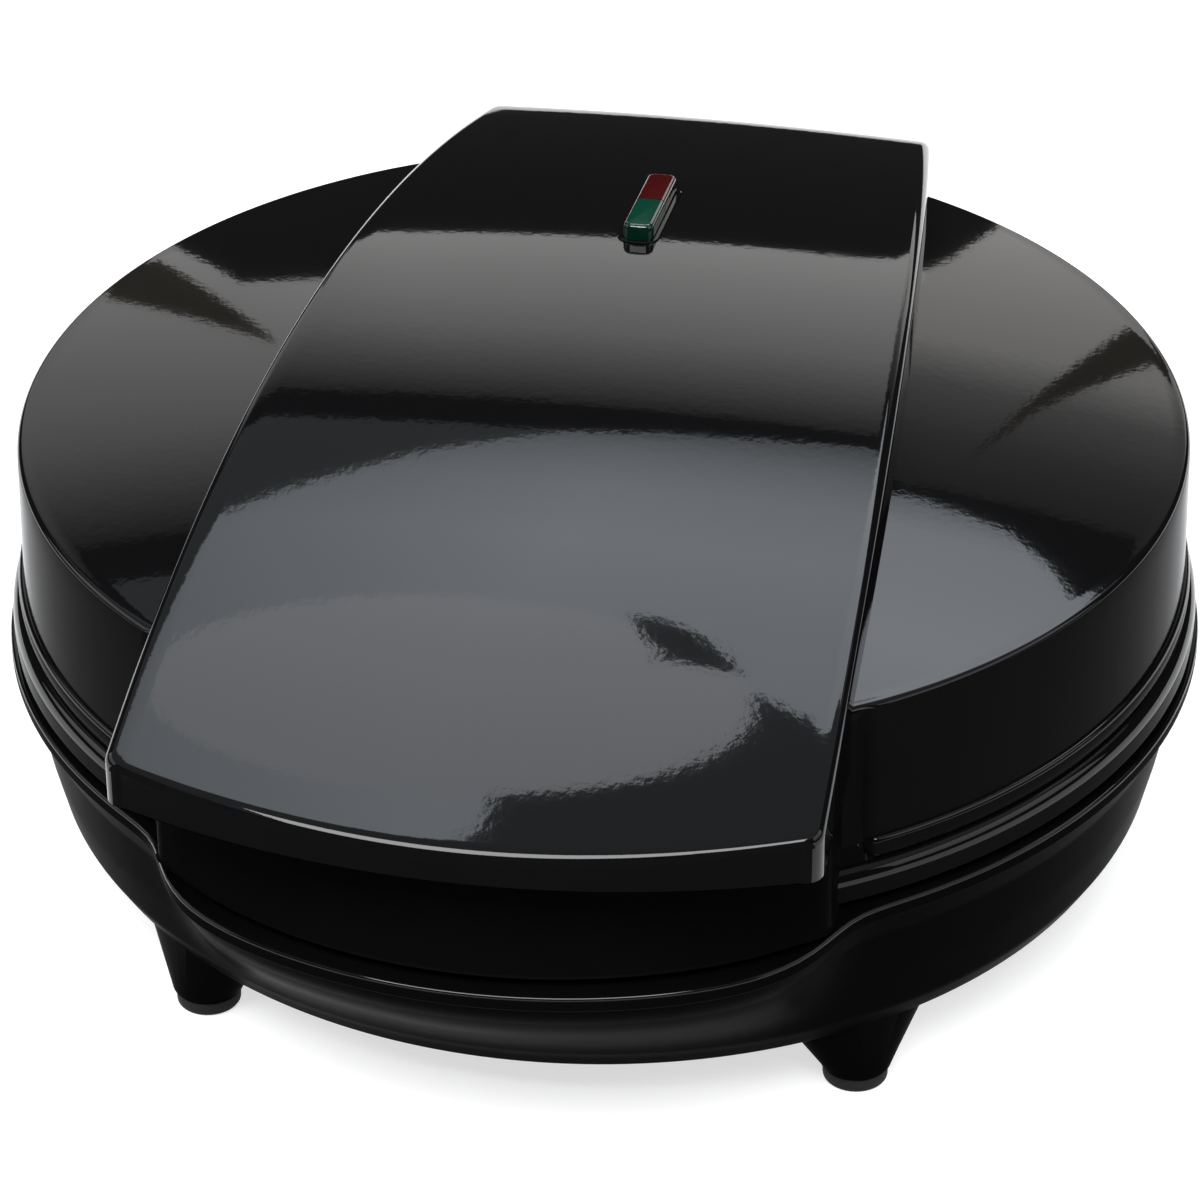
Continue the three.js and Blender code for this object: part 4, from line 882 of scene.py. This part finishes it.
block_stops = [(-3.5, 0.0), (0.0, 0.0), (2.3, 0.06), (2.9, 0.2), (3.25, 0.5), (3.38, 0.85), (3.4, 1.1)]
keep_outline = [(-6, 0.12), (6, 0.12), (6, 20), (-6, 20)]    # the half of the block that one lens is
for side, word, colour in ((1, "red", (0.042, 0.003, 0.003)), (-1, "green", (0.001, 0.034, 0.019))):
    block = rounded_block(f"lens_{word}_block", lens_half_wide, lens_half_long, lens_corner, block_stops)
    keep = lofted("keep", [[lens_frame(a, side * b, h) for a, b in keep_outline] for h in (-6, 8)])
    worked(block, "INTERSECT", [keep])
    dressed(block, clear_plastic(f"clear_{word}", colour, 0.14, 0.012, 0.03),
            f"{word}_lens", "lid", f"lens_{word}")
    finish_faces(block, clear_plastic(f"clear_{word}_edge", colour, 0.05),
                 lambda spot, normal: normal.z < 0.97)
bezel = rounded_block("bezel_ring", 4.4, 16.3, 3.2, [(-2.4, 0), (-0.1, 0), (0.1, 0.2)])
worked(bezel, "DIFFERENCE", [rounded_block("bezel_space", 3.5, 15.4, 2.3, [(-4, 0), (4, 0)])])
dressed(bezel, gloss_black, "gloss_black", "lid", "indicator_bezel")

# Heaters, shields, thermostat, fuse, lamps and terminal block. They sit between the plates and the
# mouldings, and only the lamps show, faintly, so their solids stay and get their own finishes: steel
# sheath and sheet, unglazed ceramic and glass.
heater_sheath = steel("heater_sheath", (0.11, 0.10, 0.09), 0.5, (1, 1, 1), 0.3)
rolled_sheet = steel("rolled_sheet", (0.50, 0.51, 0.53), 0.36, (1, 8, 1))
cream_ceramic = plastic("cream_ceramic", (0.62, 0.58, 0.48), 0.7, 0.5, 0.0003, 0.00002, 0.1)
lamp_glass = clear_plastic("lamp_glass_clear", (0.85, 0.75, 0.65))
inside_nodes = {
    "lower_heating_element": heater_sheath, "upper_heating_element": heater_sheath,
    "lower_heat_shield": rolled_sheet, "upper_heat_shield": rolled_sheet,
    "thermostat": cream_ceramic, "thermal_fuse": cream_ceramic, "terminal_block": cream_ceramic,
    "lamp_tray": cream_ceramic, "lamp_red": lamp_glass, "lamp_green": lamp_glass,
    "lower_shield_screw": zinc, "upper_shield_screw": zinc,
    **{f"lower_plate_screw_{k}": zinc for k in (1, 2, 3)},
    **{f"band_screw_{k}": zinc for k in (1, 2, 3, 4)},
    **{f"grip_screw_{k}": zinc for k in (1, 2)},
}
for node_name, material in inside_nodes.items():
    for slot in bpy.data.objects[node_name].material_slots:
        slot.material = material

# Floor. A sheet of white paper in a dim studio. It is seen at full white far off and a little darker
# under the cooker, where it keeps the shadow, and from below it isn't seen at all.


def worked_out(tree, operation, first, second):
    """The product or the greater of two outputs, or of an output and a number."""
    node = tree.nodes.new("ShaderNodeMath")
    node.operation = operation
    for socket, value in zip(node.inputs, (first, second)):
        if isinstance(value, bpy.types.NodeSocket):
            tree.links.new(value, socket)
        else:
            socket.default_value = value
    return node.outputs["Value"]


floor_half = 6
floor_mesh = bpy.data.meshes.new("floor")
floor_mesh.from_pydata([(x * floor_half, y * floor_half, -0.0001)
                        for x, y in ((-1, -1), (1, -1), (1, 1), (-1, 1))], [], [(0, 1, 2, 3)])
floor = bpy.data.objects.new("floor", floor_mesh)
scene.collection.objects.link(floor)
paper = plain_finish("white_paper", {"Base Color": (0.5, 0.5, 0.5, 1), "Roughness": 0.9,
                                     "Specular IOR Level": 0.0})
paper_tree = paper.node_tree
paper_nodes, paper_links = paper_tree.nodes, paper_tree.links
ray = paper_nodes.new("ShaderNodeLightPath")
seen = worked_out(paper_tree, "MAXIMUM", ray.outputs["Is Camera Ray"], ray.outputs["Is Glossy Ray"])
seen = worked_out(paper_tree, "MAXIMUM", seen, ray.outputs["Is Transmission Ray"])
paper_place = paper_nodes.new("ShaderNodeTexCoord")
away = paper_nodes.new("ShaderNodeVectorMath")
away.operation = "LENGTH"
paper_links.new(paper_place.outputs["Object"], away.inputs[0])
white_out = paper_nodes.new("ShaderNodeMapRange")
for socket, value in zip(("From Min", "From Max", "To Min", "To Max"), (0.4, 1.2, 0.66, 1.0)):
    white_out.inputs[socket].default_value = value
paper_links.new(away.outputs["Value"], white_out.inputs["Value"])
lift = worked_out(paper_tree, "MULTIPLY", seen, white_out.outputs["Result"])
paper_glow = paper_nodes.new("ShaderNodeEmission")
paper_glow.inputs["Color"].default_value = (1, 1, 1, 1)
paper_links.new(lift, paper_glow.inputs["Strength"])
lit_paper = paper_nodes.new("ShaderNodeAddShader")
paper_links.new(paper_nodes["Principled BSDF"].outputs[0], lit_paper.inputs[0])
paper_links.new(paper_glow.outputs[0], lit_paper.inputs[1])
paper_side = paper_nodes.new("ShaderNodeNewGeometry")
from_below = paper_nodes.new("ShaderNodeBsdfTransparent")
one_sided = paper_nodes.new("ShaderNodeMixShader")
paper_links.new(paper_side.outputs["Backfacing"], one_sided.inputs[0])
paper_links.new(lit_paper.outputs[0], one_sided.inputs[1])
paper_links.new(from_below.outputs[0], one_sided.inputs[2])
paper_links.new(one_sided.outputs[0], paper_nodes["Material Output"].inputs["Surface"])
floor.data.materials.append(paper)

world = bpy.data.worlds.new("white_beyond")
scene.world = world
world.use_nodes = True
world.node_tree.nodes["Background"].inputs["Color"].default_value = (1, 1, 1, 1)
world.node_tree.nodes["Background"].inputs["Strength"].default_value = 1.0

# Studio. Dim walls and roof that the camera doesn't see, a tall cloth panel behind the cooker, a wide
# one over it with a round lamp, one at either side, and a soft lamp over the front for the shadows.


def flat_card(name, corners, material):
    """A flat board of the studio, through its corners in metres, that the camera doesn't see."""
    mesh = bpy.data.meshes.new(name)
    mesh.from_pydata(corners, [], [tuple(range(len(corners)))])
    mesh.materials.append(material)
    board = bpy.data.objects.new(name, mesh)
    scene.collection.objects.link(board)
    board.visible_camera = False


def standing_card(name, y, outline, material):
    flat_card(name, [(x, y, z) for x, z in outline], material)


def hanging_card(name, z, outline, material):
    flat_card(name, [(x, y, z) for x, y in outline], material)


def glow(name, colour, axis, levels, across=((-1.0, 1.0), (1.0, 1.0))):
    """A glowing cloth: its level changes along one axis and, in shares, across it along X."""
    material = bpy.data.materials.new(name)
    material.use_nodes = True
    nodes, links = material.node_tree.nodes, material.node_tree.links
    nodes.remove(nodes["Principled BSDF"])
    light = nodes.new("ShaderNodeEmission")
    light.inputs["Color"].default_value = (*colour, 1)
    place = nodes.new("ShaderNodeTexCoord")
    axes = nodes.new("ShaderNodeSeparateXYZ")
    links.new(place.outputs["Object"], axes.inputs["Vector"])
    peak = max(level for _, level in levels)
    parts = []
    for side, stops, full in ((axis, levels, peak), ("X", across, 1.0)):
        first, last = stops[0][0], stops[-1][0]
        share = nodes.new("ShaderNodeMapRange")
        share.inputs["From Min"].default_value = first
        share.inputs["From Max"].default_value = last
        links.new(axes.outputs[side], share.inputs["Value"])
        ramp = nodes.new("ShaderNodeValToRGB")
        links.new(share.outputs["Result"], ramp.inputs["Fac"])
        while len(ramp.color_ramp.elements) < len(stops):
            ramp.color_ramp.elements.new(0.5)
        for stop, (spot, level) in zip(ramp.color_ramp.elements, stops):
            stop.position = (spot - first) / (last - first)
            stop.color = (level / full, level / full, level / full, 1)
        parts.append(ramp.outputs["Color"])
    both = worked_out(material.node_tree, "MULTIPLY", *parts)
    links.new(worked_out(material.node_tree, "MULTIPLY", both, peak), light.inputs["Strength"])
    links.new(light.outputs["Emission"], nodes["Material Output"].inputs["Surface"])
    return material


dim_wall = glow("dim_wall_paint", (1, 1, 1.03), "Z", [(0, 0.035), (2.4, 0.045)])
dim_roof = glow("dim_roof_paint", (0.95, 1.0, 1.08), "Z", [(1.4, 0.45), (2.5, 0.5)])
room_x, room_front, room_back, room_top = 2.4, -2.8, 2.4, 2.4
room_corners = [(-room_x, room_front), (room_x, room_front), (room_x, room_back), (-room_x, room_back)]
for number, (x, y) in enumerate(room_corners):
    next_x, next_y = room_corners[(number + 1) % 4]
    flat_card(f"dim_wall_{number + 1}", [(x, y, 0), (next_x, next_y, 0), (next_x, next_y, room_top),
                                         (x, y, room_top)], dim_wall)
hanging_card("dim_roof", room_top, room_corners, dim_roof)

back_y = 1.5
back_glow = glow("back_panel_cloth", (1.0, 0.99, 0.98), "Z",
                 [(0.42, 2.2), (0.74, 2.15), (0.95, 2.0), (1.08, 1.75), (1.25, 1.0), (1.42, 0.25)],
                 [(-1.25, 0.5), (-0.9, 0.62), (-0.65, 0.76), (-0.45, 1.0), (0.1, 1.0)])
standing_card("back_panel", back_y, (
    (-1.25, 0.48), (-0.695, 0.48), (-0.645, 0.655), (-0.50, 0.69), (-0.10, 0.655), (-0.01, 0.60),
    (-0.01, 1.42), (-1.25, 1.42)), back_glow)
side_glow = glow("side_panel_cloth", (1.0, 0.98, 0.96), "Z",
                 [(0.40, 1.95), (0.78, 1.75), (0.90, 0.72), (1.05, 0.36), (1.2, 0.2)])
standing_card("side_panel", back_y, (
    (-0.01, 0.60), (0.005, 0.56), (0.04, 0.40), (0.60, 0.40), (0.60, 1.20), (-0.01, 1.20)), side_glow)
stand_black = glow("stand_paint", (1.0, 0.9, 0.7), "Z", [(0, 0.16), (2, 0.16)])
standing_card("left_stand", back_y - 0.01, ((-0.80, 0.585), (-0.715, 0.49), (-0.63, 0.855)), stand_black)
standing_card("right_stand", back_y - 0.01, (
    (0.182, 0.615), (0.228, 0.695), (0.148, 0.91), (0.105, 1.11), (0.135, 0.90)), stand_black)

top_z = 1.5
top_glow = glow("top_panel_cloth", (0.93, 1.0, 1.08), "Y",
                [(0.2, 5.2), (1.0, 5.0), (1.2, 4.1), (1.36, 2.8), (1.52, 1.1)],
                [(-0.66, 0.6), (-0.45, 0.82), (-0.3, 1.0), (0.1, 1.0)])
hanging_card("top_panel", top_z, (
    (-0.66, 0.20), (-0.30, 0.20), (-0.263, 0.277), (-0.25, 0.60), (-0.107, 0.621), (-0.039, 0.555),
    (0.02, 0.54), (0.02, 1.5), (-0.10, 1.52), (-0.36, 1.44), (-0.46, 1.30), (-0.55, 1.10),
    (-0.62, 0.9), (-0.66, 0.6)), top_glow)
top_side_glow = glow("top_side_cloth", (0.93, 1.0, 1.08), "Y",
                     [(0.6, 5.4), (1.3, 5.3), (1.5, 4.5), (1.7, 3.9), (1.86, 2.0)])
hanging_card("top_side_panel", top_z, (
    (0.02, 0.54), (0.9, 0.85), (0.9, 1.3), (0.34, 1.5), (0.27, 1.68), (0.20, 1.79), (0.05, 1.86),
    (0.02, 1.84)), top_side_glow)
round_x, round_y, round_radius = -0.322, 0.558, 0.226
round_glow = glow("round_lamp_cloth", (1.0, 1.01, 1.08), "Y", [(0.3, 4.9), (0.75, 5.3)],
                  [(-0.54, 0.9), (-0.32, 1.0), (-0.1, 1.0)])
hanging_card("round_lamp", top_z - 0.01, [
    (round_x + x, round_y + y) for x, y in on_circle(round_radius, full_turn(64))], round_glow)
hanging_card("lamp_bracket", top_z - 0.02, (
    (-0.209, 0.768), (-0.188, 0.698), (-0.174, 0.688), (-0.179, 0.655), (-0.162, 0.661), (-0.138, 0.653),
    (-0.113, 0.648), (-0.131, 0.694), (-0.155, 0.736), (-0.183, 0.763)), dim_roof)

near_x = 1.5
near_glow = glow("near_panel_cloth", (1.0, 1.0, 1.02), "Z", [(0.4, 1.4), (0.9, 2.0), (1.4, 1.6)])
for side in (1, -1):
    flat_card(f"near_panel_{side + 2}", [(side * near_x, y, z) for y, z in (
        (-0.8, 0.42), (0.55, 0.42), (0.55, 1.3), (-0.8, 1.3))], near_glow)

front_light = bpy.data.lights.new("front_box", "AREA")
front_light.shape = "RECTANGLE"
front_light.size, front_light.size_y = 1.9, 0.8
front_light.energy = 74
front_box = bpy.data.objects.new("front_box", front_light)
scene.collection.objects.link(front_box)
front_box.location = (0.0, -1.3, 1.75)
to_cooker = Vector((0, 0, 0.05)) - front_box.location
front_box.rotation_euler = to_cooker.to_track_quat("-Z", "Y").to_euler()
front_box.visible_camera = False
